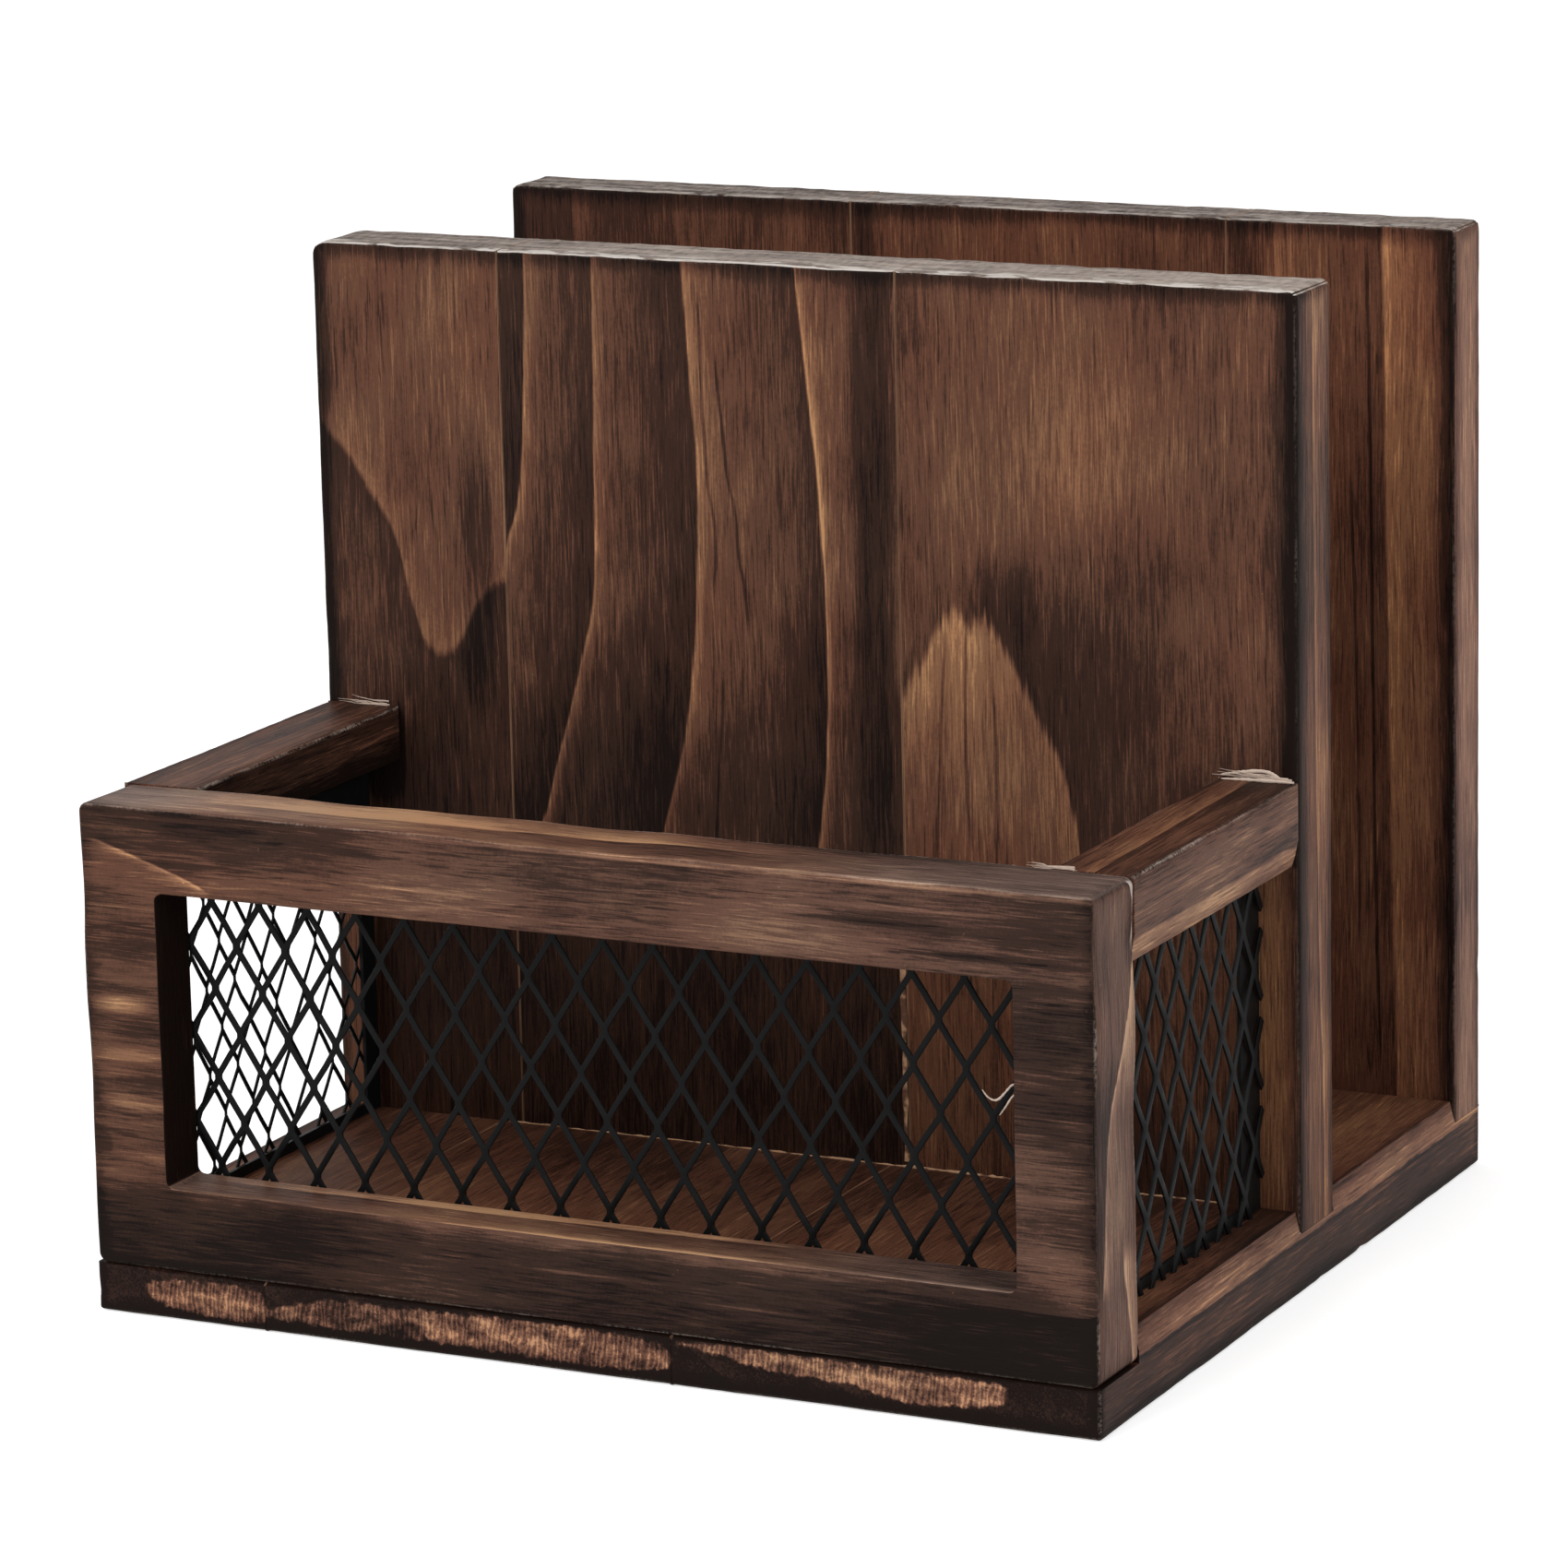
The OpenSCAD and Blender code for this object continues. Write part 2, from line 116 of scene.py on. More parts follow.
class SheetSizes(bpy.types.PropertyGroup):
    """The expanded metal: diamonds, bonds and the metal itself."""

    diamond_width: length_property("Diamond width", "Short pitch of the diamonds", 9)
    diamond_height: length_property("Diamond height", "Long pitch of the diamonds", 15)
    bond_width: length_property("Bond width", "Width where four strands meet", 1.05)
    bond_length: length_property("Bond length", "Height of a bond between its tips", 2.5)
    bond_side: length_property("Bond side", "Straight side of a bond", 0.7)
    metal: length_property("Metal", "Thickness of the metal", 0.42)
    lean: length_property("Lean", "How far a bond leans out to each side", 0.22)
    black: colour_property("Black paint", "Colour of the painted metal", (14, 14, 14))
    zinc: colour_property("Zinc", "Colour of screws, brads and staples", (178, 178, 174))
    easing: length_property("Easing", "Rounding of the strands under the paint", 0.11)


class StageSettings(bpy.types.PropertyGroup):
    """Floor, light and camera."""

    floor: colour_property("Floor", "Colour of the pale floor", (250, 250, 250))
    eye: place_property("Eye", "Place of the camera", (0.4873, -0.98645, 0.3325))
    target: place_property("Target", "Point that the camera looks at",
                           (-0.00025, -0.00532, 0.07948))
    roll: FloatProperty(
        name="Roll", description="Tilt of the camera about its axis", unit="ROTATION",
        default=math.radians(-1.293),
    )
    lens: FloatProperty(name="Lens", description="Focal length in millimetres", default=155)
    dome: FloatProperty(name="Dome", description="Strength of the sky on the object", default=0.45)
    glow: FloatProperty(name="Glow", description="What the floor adds to look white", default=0.56)
    key: FloatProperty(name="Key", description="Power of the main lamp", default=18, unit="POWER")
    fill: FloatProperty(name="Fill", description="Power of the side lamp", default=7, unit="POWER")


# ---- Shapes, in millimetres ----

# Distances of the mesh lines from an outer arris and from a glue line
ARRIS_LINES = (0, 0.12, 0.3, 0.6, 1.0, 1.5, 2.2, 3.2)
SEAM_LINES = (0, 0.08, 0.16, 0.6, 1.5)


def wave(points, pitch, seed, count=7):
    """Smooth noise about zero, mostly within one, with bumps about a pitch apart."""
    draw = np.random.default_rng(seed)
    total = np.zeros(len(points))
    for _ in range(count):
        way = draw.normal(size=3)
        way /= np.linalg.norm(way)
        turns = draw.uniform(0.6, 1.7) * math.tau / pitch
        total += np.sin(points @ way * turns + draw.uniform(0, math.tau))
    return total / math.sqrt(count)


def near_to(away, reach):
    """1 where nothing is away, falling to 0 at the reach"""
    return np.clip(1 - away / reach, 0, 1)


def grid_lines(low, high, step, ends, breaks=()):
    """Mesh lines from low to high, close together near the two ends."""
    marks = sorted({low, high, *breaks})
    found = set(marks)
    for a, b in zip(marks, marks[1:]):
        at_a = [a + d for d in ends if a == low and d < (b - a) / 2]
        at_b = [b - d for d in ends if b == high and d < (b - a) / 2]
        start, stop = max(at_a, default=a), min(at_b, default=b)
        count = max(1, round((stop - start) / step))
        found.update(at_a + at_b + [start + (stop - start) * i / count for i in range(count + 1)])
    kept = []
    for v in sorted(found):
        if not kept or v - kept[-1] >= 1e-6:
            kept.append(v)
    return np.array(kept)


def block_shell(xs, ys, zs, empty):
    """The skin of the cells of a grid that aren't empty, as points and quads."""
    shape = (len(xs), len(ys), len(zs))
    padded = np.pad(np.broadcast_to(~empty, [n - 1 for n in shape]), 1)
    quads = []
    for axis in range(3):
        b, c = [(1, 2), (2, 0), (0, 1)][axis]
        lower = np.take(padded, range(padded.shape[axis] - 1), axis)
        upper = np.take(padded, range(1, padded.shape[axis]), axis)
        for side, there in ((1, lower & ~upper), (-1, upper & ~lower)):
            cells = np.argwhere(there)
            for other in (b, c):
                cells[:, other] -= 1
            eb, ec = np.eye(3, dtype=int)[b], np.eye(3, dtype=int)[c]
            ring = [cells, cells + eb, cells + eb + ec, cells + ec][::side]
            quads.append(np.stack([np.ravel_multi_index(r.T, shape) for r in ring], 1))
    quads = np.concatenate(quads)
    used, faces = np.unique(quads, return_inverse=True)
    i, j, k = np.unravel_index(used, shape)
    return np.stack([xs[i], ys[j], zs[k]], 1), faces.reshape(-1, 4)


def chip_wobble(points, seed, strength=0.16):
    """How much larger an arris is than its size, along its length."""
    slow, quick = wave(points, 31, seed), wave(points, 5.5, seed + 1)
    size = 1 + strength * (slow + 0.6 * quick) + 0.9 * np.clip(quick - 1.35, 0, 1)
    return np.clip(size, 0.35, 2.4)


def soften(points, low, high, radii, seed):
    """Rounds the outer arrises of a block. radii are those of the sides x-, x+, y-, y+, z-, z+."""
    from_low = points - low < high - points
    near = np.minimum(points - low, high - points)
    radius = np.where(from_low, radii[0::2], radii[1::2]) * chip_wobble(points, seed)[:, None]
    least = np.where(near < radius, radius, np.inf).min(1)
    radius = np.minimum(radius, least[:, None])
    share = np.clip(1 - near / radius, 0, 1)
    peak, size = share.max(1), np.linalg.norm(share, axis=1)
    bent = radius * (1 - share * (peak / np.maximum(size, 1e-9))[:, None])
    moves = ((share > 0).sum(1) > 1) & (peak > 0.999)
    shift = np.where(from_low, 1, -1) * (bent - near)
    return np.where(moves[:, None] & (share > 0), points + shift, points)


def sleeve(start, rings, around, flip=False, closed=False):
    """Quads between rings of points that are numbered ring by ring from start on"""
    faces = []
    for i in range(rings - (not closed)):
        a, b = start + i * around, start + (i + 1) % rings * around
        for k in range(around):
            n = (k + 1) % around
            faces.append((a + k, b + k, b + n, a + n) if flip else (a + k, a + n, b + n, b + k))
    return faces


def tube(start, rings, around, flip=False):
    """A sleeve with both ends closed"""
    turn = 1 if flip else -1
    return sleeve(start, rings, around, flip) + [
        [start + k for k in range(around)][::turn],
        [start + (rings - 1) * around + k for k in range(around)][::-turn],
    ]


def new_piece(name, points, faces, material, nodes=(), sharp=38):
    """Links a mesh as a piece that rides on the one body."""
    data = bpy.data.meshes.new(name)
    data.from_pydata((np.asarray(points, float) * MM).tolist(), [], [list(f) for f in faces])
    data.validate()
    data.shade_smooth()
    data.set_sharp_from_angle(angle=math.radians(sharp))
    piece = bpy.data.objects.new(name, data)
    bpy.context.scene.collection.objects.link(piece)
    data.materials.append(material)
    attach(piece, "root")
    if nodes:
        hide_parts(*nodes)
    return piece


def face_outward(piece, *, bevel=None):
    """Turns the faces of a piece outward, and may bevel its arrises"""
    bm = bmesh.new()
    bm.from_mesh(piece.data)
    bmesh.ops.recalc_face_normals(bm, faces=bm.faces)
    if bevel:
        least = math.radians(25)
        arrises = [e for e in bm.edges if e.is_manifold and e.calc_face_angle(0) > least]
        bmesh.ops.bevel(bm, geom=arrises, offset=bevel, segments=2, profile=0.5,
                        affect="EDGES", clamp_overlap=False)
    bm.to_mesh(piece.data)
    bm.free()


def paint_nodes(nodes, material):
    """Gives CAD nodes that stay as they are a material and a slot"""
    for node in nodes:
        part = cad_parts[node]
        part.data.materials.clear()
        part.data.materials.append(material)


def mm_box(*nodes):
    """Lowest and highest corner of CAD nodes, in millimetres."""
    boxes = [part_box(n) for n in nodes]
    return np.min([b[0] for b in boxes], 0) / MM, np.max([b[1] for b in boxes], 0) / MM


# ---- Node trees ----


class Tree:
    """A short hand for building a node tree. Every value may be a socket or a number."""

    def __init__(self, owner):
        self.owner = owner
        owner.use_nodes = True
        self.tree = owner.node_tree
        self.tree.nodes.clear()

    def node(self, kind, inputs=(), **settings):
        made = self.tree.nodes.new("ShaderNode" + kind)
        for key, value in settings.items():
            setattr(made, key, value)
        for key, value in dict(inputs).items():
            self.put(made.inputs[key], value)
        return made

    def put(self, socket, value):
        if isinstance(value, bpy.types.NodeSocket):
            self.tree.links.new(value, socket)
        else:
            socket.default_value = value

    def calc(self, operation, *values, clamp=False):
        made = self.node("Math", operation=operation, use_clamp=clamp)
        for socket, value in zip(made.inputs, values):
            self.put(socket, value)
        return made.outputs[0]

    def add(self, a, b):
        return self.calc("ADD", a, b)

    def sub(self, a, b):
        return self.calc("SUBTRACT", a, b)

    def mul(self, a, b):
        return self.calc("MULTIPLY", a, b)

    def fma(self, a, b, c):
        """a times b plus c"""
        return self.calc("MULTIPLY_ADD", a, b, c)

    def clamp(self, value):
        return self.calc("ADD", value, 0.0, clamp=True)

    def ease(self, value, low, high):
        """0 at low, 1 at high, smooth between; high may be the smaller"""
        eased = self.node(
            "MapRange", {"Value": value, "From Min": min(low, high), "From Max": max(low, high)},
            interpolation_type="SMOOTHSTEP",
        ).outputs[0]
        return self.sub(1, eased) if high < low else eased

    def vector(self, x, y, z):
        return self.node("CombineXYZ", {"X": x, "Y": y, "Z": z}).outputs[0]

    def millimetres(self):
        """The place on the part, in millimetres"""
        place = self.node("TexCoord").outputs["Object"]
        return self.node("VectorMath", {0: place, "Scale": 1 / MM}, operation="SCALE").outputs[0]

    def noise(self, vector, scale, detail=2.0, roughness=0.5, warp=0.0):
        """Noise from 0 to 1. scale says how many bumps there are to a unit, for all axes or
        for each"""
        factors = (scale,) * 3 if isinstance(scale, (int, float)) else scale
        spread = self.node("VectorMath", {0: vector, 1: factors}, operation="MULTIPLY")
        return self.node(
            "TexNoise", {"Vector": spread.outputs[0], "Scale": 1.0, "Detail": detail,
                         "Roughness": roughness, "Distortion": warp},
        ).outputs[0]

    def wobble(self, *noise):
        """The same noise, about zero"""
        return self.sub(self.noise(*noise), 0.5)

    def curve(self, value, points):
        """A smooth line through points, as the height over value"""
        lows, highs = np.min(points, 0), np.max(points, 0)
        span = np.maximum(highs - lows, 1e-6)
        made = self.node("FloatCurve")
        made.inputs[0].default_value = 1.0
        drawn = made.mapping.curves[0]
        made.mapping.extend = "HORIZONTAL"
        shares = sorted(tuple((np.array(p) - lows) / span) for p in points)
        for place, (x, y) in enumerate(shares):
            if place < 2:
                drawn.points[place].location = (x, y)
            else:
                drawn.points.new(x, y)
        made.mapping.update()
        unit = self.calc("DIVIDE", self.sub(value, float(lows[0])), float(span[0]), clamp=True)
        self.put(made.inputs["Value"], unit)
        return self.fma(made.outputs[0], float(span[1]), float(lows[1]))

    def mix(self, share, a, b, blend="MIX"):
        made = self.node("Mix", data_type="RGBA", blend_type=blend, clamp_factor=True)
        self.put(made.inputs[0], share)
        for socket, value in ((made.inputs[6], a), (made.inputs[7], b)):
            self.put(socket, value if isinstance(value, bpy.types.NodeSocket) else (*value, 1))
        return made.outputs[2]

    def ramp(self, value, stops):
        made = self.node("ValToRGB", {"Fac": value})
        line = made.color_ramp
        line.interpolation = "EASE"
        while len(line.elements) < len(stops):
            line.elements.new(0.5)
        for element, (place, colour) in zip(line.elements, stops):
            element.position = place
            element.color = (*colour, 1)
        return made.outputs[0]

    def seen(self):
        """1 for the rays that show a thing to the camera, 0 for those that light others"""
        rays = self.node("LightPath").outputs
        seen = self.calc("MAXIMUM", rays["Is Camera Ray"], rays["Is Glossy Ray"])
        return self.calc("MAXIMUM", seen, rays["Is Transmission Ray"])

    def finish(self, colour, roughness, height, depth, level=0.5, metallic=0.0):
        """Ends the tree in one Principled shader"""
        bump = self.node("Bump", {"Height": height, "Distance": depth, "Strength": 1.0})
        shader = self.node("BsdfPrincipled", {
            "Base Color": colour, "Roughness": roughness, "Normal": bump.outputs[0],
        })
        shader.inputs["Specular IOR Level"].default_value = level
        shader.inputs["Metallic"].default_value = metallic
        out = self.node("OutputMaterial", {"Surface": shader.outputs[0]})
        out.is_active_output = True
        return self.owner


# The axes across, into and along the grain, by the direction of the grain
AXES = {"x": "zyx", "y": "xzy", "z": "xyz"}
# How squarely a face looks along an axis before it shows its marks
FACING = (0.5, 0.8)
# Bumps of the wood to a millimetre: across, into and along the grain
DRIFT, FINE, STREAK = (0.05, 0.05, 0.012), (2.9, 2.9, 0.14), (0.6, 0.6, 0.02)
CLOUD, PORES, HAIRS = (0.034, 0.034, 0.022), (2.4, 2.4, 0.13), (3.2, 3.2, 0.12)
RAGGED, WISPS, HUE = (1.2, 1.2, 0.04), (1.7, 1.7, 0.055), (0.09, 0.09, 0.05)
GRIT = (2.2, 2.2, 1.6)
# How far the drift bends the grain, and how far apart the wood of two seeds lies
BEND, SEED_ACROSS, SEED_DEEP = 3.5, 37.0, 11.0
# Softness of lines, half width of cracks, and the hatching that a saw leaves
LINE_SOFT, FLAME_SOFT, CRACK_SOFT = 0.3, 0.8, 4.0
CRACK_HALF = (0.45, 0.08)
SAW_PITCH, SAW_DEPTH, SAW_SLANT, SAW_WANDER = 0.9, 0.26, -0.12, 2.6


class Pine(Tree):
    """A tree that draws torched pine. Places are in millimetres on the part, and each kind of
    mark is a method that gives what the mark adds to the tone."""

    def __init__(self, name, grain, seed, front, tilt):
        super().__init__(bpy.data.materials.new(name))
        self.place = self.millimetres()
        self.xyz = dict(zip("xyz", self.node("SeparateXYZ", {0: self.place}).outputs))
        turned = self.node("SeparateXYZ", {0: self.node("NewGeometry").outputs["Normal"]}).outputs
        self.facing = {
            k: self.ease(self.calc("ABSOLUTE", n), *FACING) for k, n in zip("xyz", turned)
        }
        self.facing["top"] = self.ease(turned[2], *FACING)
        self.names = AXES[grain]
        across, depth, along = (self.xyz[a] for a in self.names)
        self.slant = self.fma(self.sub(depth, front), tilt, across)
        if grain == "x":
            # The outer edges of the frame show long grain that runs up
            along = self.between(self.facing["x"], along, self.xyz["z"])
            across = self.between(self.facing["x"], across, self.xyz["y"])
        across = self.add(across, seed * SEED_ACROSS)
        depth = self.add(depth, seed * SEED_DEEP)
        self.raw = self.vector(across, depth, along)
        bent = self.vector(self.fma(self.wobble(self.raw, DRIFT), BEND, across), depth, along)
        self.fine = self.noise(bent, FINE, 3, 0.66)
        self.streak = self.noise(bent, STREAK)
        self.cloud = self.wobble(self.raw, CLOUD)
        self.pores = self.ease(self.noise(bent, PORES, 1.5), 0.58, 0.66)
        self.hairs = self.ease(self.noise(bent, HAIRS, 1.5), 0.56, 0.68)
        self.grit = self.wobble(self.place, GRIT)
        self.ragged = self.wobble(bent, RAGGED)

    def between(self, share, a, b):
        return self.node("Mix", {0: share, 2: a, 3: b}).outputs[0]

    def axes(self, axes):
        """The places along and across a mark"""
        if axes:
            return (self.xyz[a] for a in axes)
        return self.xyz[self.names[2]], self.slant

    def power(self, value):
        return self.calc("POWER", math.e, value)

    def fading(self, distance, width):
        """1 at no distance, then less and less"""
        return self.power(self.mul(self.calc("MAXIMUM", distance, 0.0), -1 / width))

    def within(self, value, span, soft):
        low, high = span
        return self.mul(self.ease(value, low - soft, low + soft),
                        self.ease(value, high + soft, high - soft))

    def line(self, points, gain, fade, core, width, dark, reach, side=1.0, ragged=1.0,
             span=None, soft=2.0, axes=None):
        """A ring edge that the flame left pale: crisp on one side, fading on the other"""
        along, across = self.axes(axes)
        off = self.sub(across, self.curve(along, points))
        off = self.mul(self.fma(self.ragged, ragged, off), side)
        past, before = self.ease(off, -LINE_SOFT, LINE_SOFT), self.ease(off, LINE_SOFT, -LINE_SOFT)
        life = self.fma(self.noise(self.place, 0.035), 1.6, -0.15)
        crisp = self.mul(self.mul(past, self.fading(off, width)), life)
        added = self.mul(self.mul(past, self.fading(off, fade)), gain)
        added = self.fma(crisp, core, added)
        beside = self.mul(before, self.fading(self.mul(off, -1.0), reach))
        added = self.fma(beside, -dark, added)
        return self.mul(added, self.within(along, span, soft)) if span else added

    def flame(self, points, rim, flat, fade, dark, reach, side=1.0, ragged=1.5, soft=1.2,
              span=None):
        """The tip of a ring cut lengthways, pale inside and scorched outside"""
        along, across = self.axes(None)
        off = self.mul(self.sub(along, self.curve(across, points)), side)
        off = self.fma(self.ragged, ragged, off)
        inside = self.ease(off, -soft, soft)
        glow = self.fma(self.fading(off, fade), rim, flat)
        beside = self.mul(self.sub(1, inside), self.fading(self.mul(off, -1.0), reach))
        added = self.fma(beside, -dark, self.mul(inside, glow))
        return self.mul(added, self.within(across, span, FLAME_SOFT)) if span else added

    def blot(self, gain, middle, size, ragged):
        """A soft patch; its middle and its half size are given across, then along"""
        along, across = self.axes(None)
        away = []
        for value, centre, half in zip((across, along), middle, size):
            part = self.mul(self.sub(value, centre), 1 / half)
            away.append(self.mul(part, part))
        away = self.calc("SQRT", self.add(*away))
        away = self.fma(self.sub(self.streak, 0.5), ragged, away)
        return self.mul(self.ease(away, 1.0, 0.1), gain)

    def rings(self, gain, spacing, angle, decay, wander=30.0, flow=0.006):
        """Annual rings, each crisp on one side"""
        turn = math.radians(angle)
        a, b = (self.xyz[n] for n in self.names[:2])
        flat = self.add(self.mul(a, math.cos(turn)), self.mul(b, math.sin(turn)))
        bend = self.noise(self.raw, (0.012, 0.012, flow))
        phase = self.mul(self.fma(bend, wander, flat), 1 / spacing)
        saw = self.calc("FRACT", self.fma(self.ragged, 0.5 / spacing, phase))
        lit = self.power(self.mul(saw, -decay))
        return self.mul(self.mul(lit, self.ease(saw, 0.0, 0.045)), gain)

    def patch(self, gain, span, low, high, axes):
        """Bare wood between two lines, hatched by the saw"""
        along, across = self.axes(axes)
        over = self.sub(across, self.curve(along, low))
        under = self.sub(self.curve(along, high), across)
        grit = self.wobble(self.place, 0.8, 3)
        off = self.fma(grit, 1.8, self.calc("MINIMUM", over, under))
        wander = self.noise(self.place, (0.5, 0.5, 0.2), 3)
        hatch = self.fma(across, SAW_SLANT, self.fma(wander, SAW_WANDER, along))
        saw = self.calc("FRACT", self.mul(hatch, 1 / SAW_PITCH))
        hatch = self.mul(self.ease(saw, 0.0, 0.3), self.ease(saw, 0.9, 0.5))
        tone = self.fma(grit, 0.8, self.fma(hatch, -SAW_DEPTH, gain))
        tone = self.fma(self.wobble(self.place, (0.16, 0.4, 0.4), 3), 1.6, tone)
        return self.mul(self.mul(self.ease(off, -0.2, 0.45), tone),
                        self.within(along, span, 0.7))

    def crack(self, gain, span, points):
        """A thin dark check in the wood"""
        along, across = self.axes(None)
        off = self.calc("ABSOLUTE", self.sub(across, self.curve(along, points)))
        off = self.fma(self.ragged, 0.35, off)
        cut = self.mul(self.ease(off, *CRACK_HALF), self.within(along, span, CRACK_SOFT))
        return self.mul(cut, -gain)

    def wisps(self, gain, dark):
        """Thin pale streaks and dark ones between them"""
        flow = self.fma(self.cloud, 0.5, self.noise(self.raw, WISPS, 2, 0.6))
        pale, black = self.ease(flow, 0.58, 0.70), self.ease(flow, 0.42, 0.3)
        return self.fma(pale, gain, self.mul(black, -dark))

    def tones(self, axis, points, ragged=0.0):
        """Lighter and darker stretches along one axis"""
        loose = self.wobble(self.place, 0.16)
        return self.curve(self.fma(loose, ragged, self.xyz[axis]), points)


# Where the five colours of the finish stand on the way from char to bare wood
STOPS = {"char": 0.0, "dark": 0.28, "middle": 0.52, "warm": 0.74, "bare": 1.0}
REDDER = (0.10, -0.08, -0.16)
WARM_HUE, COOL_HUE = (1.04, 0.99, 0.97), (0.97, 1.0, 0.99)
GREYER = -0.75
# What streaks, hue, pores, hairs, grit and dust add to the tone
STREAK_TONE, HUE_TONE, PORE_TONE = 0.2, 0.3, -0.11
HAIR_TONE, GRIT_TONE, DUST_TONE = 0.13, 0.16, 0.25
DUST = (0.77, 0.84)
# How far the char reaches in from an arris, as a factor and a least reach, and where it ends
CHAR_REACH, CHAR_LEAST, CHAR_END = 5.0, 0.6, 1.2
WORN_HIGHLIGHT_WIDTH = (0.7, 0.1)
GLUE_WIDTH, GLUE_SHARE = (0.26, 0.06), 0.85


def torched_pine(name, grain, low, high, tone, marks=(), seams=(), seed=0.0, burn=0.3, red=0.0,
                 tilt=0.0, mottle=0.36, fibre=0.55, crown=None, wear_and_highlight=0.25):
    """Torched pine with its grain along one axis. low and high are the corners of the whole
    panel in millimetres, tone is the middle of the face from 0 (char) to 1 (bare), and marks
    are what this board shows. A mark adds to the tone, or to how grey the board is."""
    finish = bpy.context.scene.wood_finish
    t = Pine(name, grain, seed, float(low["xyz".index(AXES[grain][1])]), tilt)

    value = t.fma(t.cloud, mottle, tone)
    value = t.fma(t.sub(t.streak, 0.5), STREAK_TONE, value)
    hue = t.noise(t.raw, HUE)
    value = t.fma(t.sub(hue, 0.5), HUE_TONE, value)
    greyness = 0.0
    for kind, fields, on, where, adds in marks:
        added = getattr(t, kind)(**fields)
        if on:
            added = t.mul(added, t.facing[on])
        if where:
            axis, *span = where
            added = t.mul(added, t.within(t.xyz[axis], span, 0.4))
        if adds == "grey":
            greyness = t.add(greyness, added)
        else:
            value = t.add(value, added)

    # Torched arrises: how far the point lies from the nearest edge of the panel
    away = []
    for i, axis in enumerate("xyz"):
        lower, upper = t.sub(t.xyz[axis], float(low[i])), t.sub(float(high[i]), t.xyz[axis])
        away.append(t.calc("MINIMUM", lower, upper))
    small, large = t.calc("MINIMUM", away[0], away[1]), t.calc("MAXIMUM", away[0], away[1])
    edge = t.calc("MAXIMUM", small, t.calc("MINIMUM", large, away[2]))
    reach = t.fma(t.noise(t.place, 0.05), CHAR_REACH, CHAR_LEAST)
    char = t.ease(t.calc("DIVIDE", edge, reach), CHAR_END, 0.0)
    value = t.fma(char, -burn, value)

    value = t.fma(t.sub(t.fine, 0.5), fibre, value)
    value = t.fma(t.hairs, HAIR_TONE, t.fma(t.pores, PORE_TONE, t.sub(value, 0.02)))
    dust = t.ease(t.noise(t.place, 1.4, 1), *DUST)
    value = t.fma(dust, DUST_TONE, t.fma(t.grit, GRIT_TONE, value))

    tint = [1 + share * red for share in REDDER]
    colour = t.ramp(t.clamp(value), [
        (place, tuple(min(1, c * w) for c, w in zip(getattr(finish, tone_name), tint)))
        for tone_name, place in STOPS.items()
    ])
    colour = t.mix(1.0, colour, t.mix(t.ease(hue, 0.3, 0.7), WARM_HUE, COOL_HUE), "MULTIPLY")
    colour = t.node("HueSaturation", {
        "Saturation": t.fma(t.calc("MINIMUM", greyness, 1.0), GREYER, 1.0), "Color": colour,
    }).outputs[0]

    if crown:
        colour = crown_edge(t, colour, float(low[1]), finish, *crown)
    # Worn arrises, pale in long soft stretches: partly wear, partly a painted highlight
    life = t.ease(t.noise(t.place, 0.07, 3), 0.42, 0.62)
    worn = t.mul(t.ease(edge, *WORN_HIGHLIGHT_WIDTH), t.fma(life, 0.8, 0.2))
    worn = t.mul(worn, t.ease(t.add(t.fine, t.grit), 0.35, 0.65))
    colour = t.mix(t.mul(worn, wear_and_highlight), colour, finish.sawn_and_sheen)
    # Glue lines between staves
    for seam in seams:
        beside = t.calc("ABSOLUTE", t.sub(t.xyz["x"], float(seam)))
        beside = t.fma(t.ragged, 0.12, beside)
        life = t.fma(t.noise(t.place, 0.06, 3), 1.1, -0.15)
        glue = t.mul(t.ease(beside, *GLUE_WIDTH), life)
        if grain == "y":
            glue = t.mul(glue, t.facing["top"])
        colour = t.mix(t.mul(glue, GLUE_SHARE), colour, finish.glue)

    roughness = t.fma(t.sub(t.fine, 0.5), 0.22, t.fma(char, 0.1, 0.5))
    height = t.fma(t.streak, 0.5, t.fma(t.fine, 0.6, t.mul(t.pores, -0.4)))
    return t.finish(colour, roughness, height, finish.fibre_depth, level=0.05)


# The crown's brush marks and chips: bumps to a millimetre, and what they add
BRUSH, BRUSH_GAIN = (0.07, 0.45, 0.24), 2.1
CROWN_GRIT, CROWN_GRIT_GAIN = (0.8, 0.3, 0.5), 1.1
CHIPS = (0.14, 0.3, 0.3)


def crown_edge(t, colour, front, finish, points, chipped):
    """The top edge of a panel: brushed grey end grain, lightened by painted sheen, with pale chips
    along its front arris
    """
    brushed = t.noise(t.place, BRUSH, 4, 0.7, 0.4)
    light = t.fma(t.sub(brushed, 0.5), BRUSH_GAIN, t.curve(t.xyz["x"], points))
    light = t.fma(t.wobble(t.place, CROWN_GRIT, 3, 0.65), CROWN_GRIT_GAIN, light)
    # Painted sheen: the top edge pales towards the colour of the end grain
    sawn_and_sheen = t.mix(t.clamp(light), finish.dark, finish.sawn_and_sheen)
    inward = t.sub(t.xyz["y"], front)
    chips = t.ease(t.noise(t.place, CHIPS, 3), 0.52, 0.58)
    chips = t.mul(chips, t.ease(inward, 5.0, 1.5))
    chips = t.calc("MAXIMUM", chips, t.mul(t.ease(inward, 1.5, 0.7), t.ease(brushed, 0.42, 0.52)))
    sawn_and_sheen = t.mix(t.mul(chips, chipped), sawn_and_sheen, finish.chip)
    return t.mix(t.facing["top"], colour, sawn_and_sheen)


# ---- Marks of the boards, in millimetres on the part ----
# A mark has a kind, which is the method of Pine that draws it, what this method takes, the
# faces that show it, the stretch of an axis that it is kept to, and what it adds to.


def mark(kind, on=None, where=None, adds="tone", **fields):
    """One mark, from what its kind takes and where it shows"""
    return kind, fields, on, where, adds


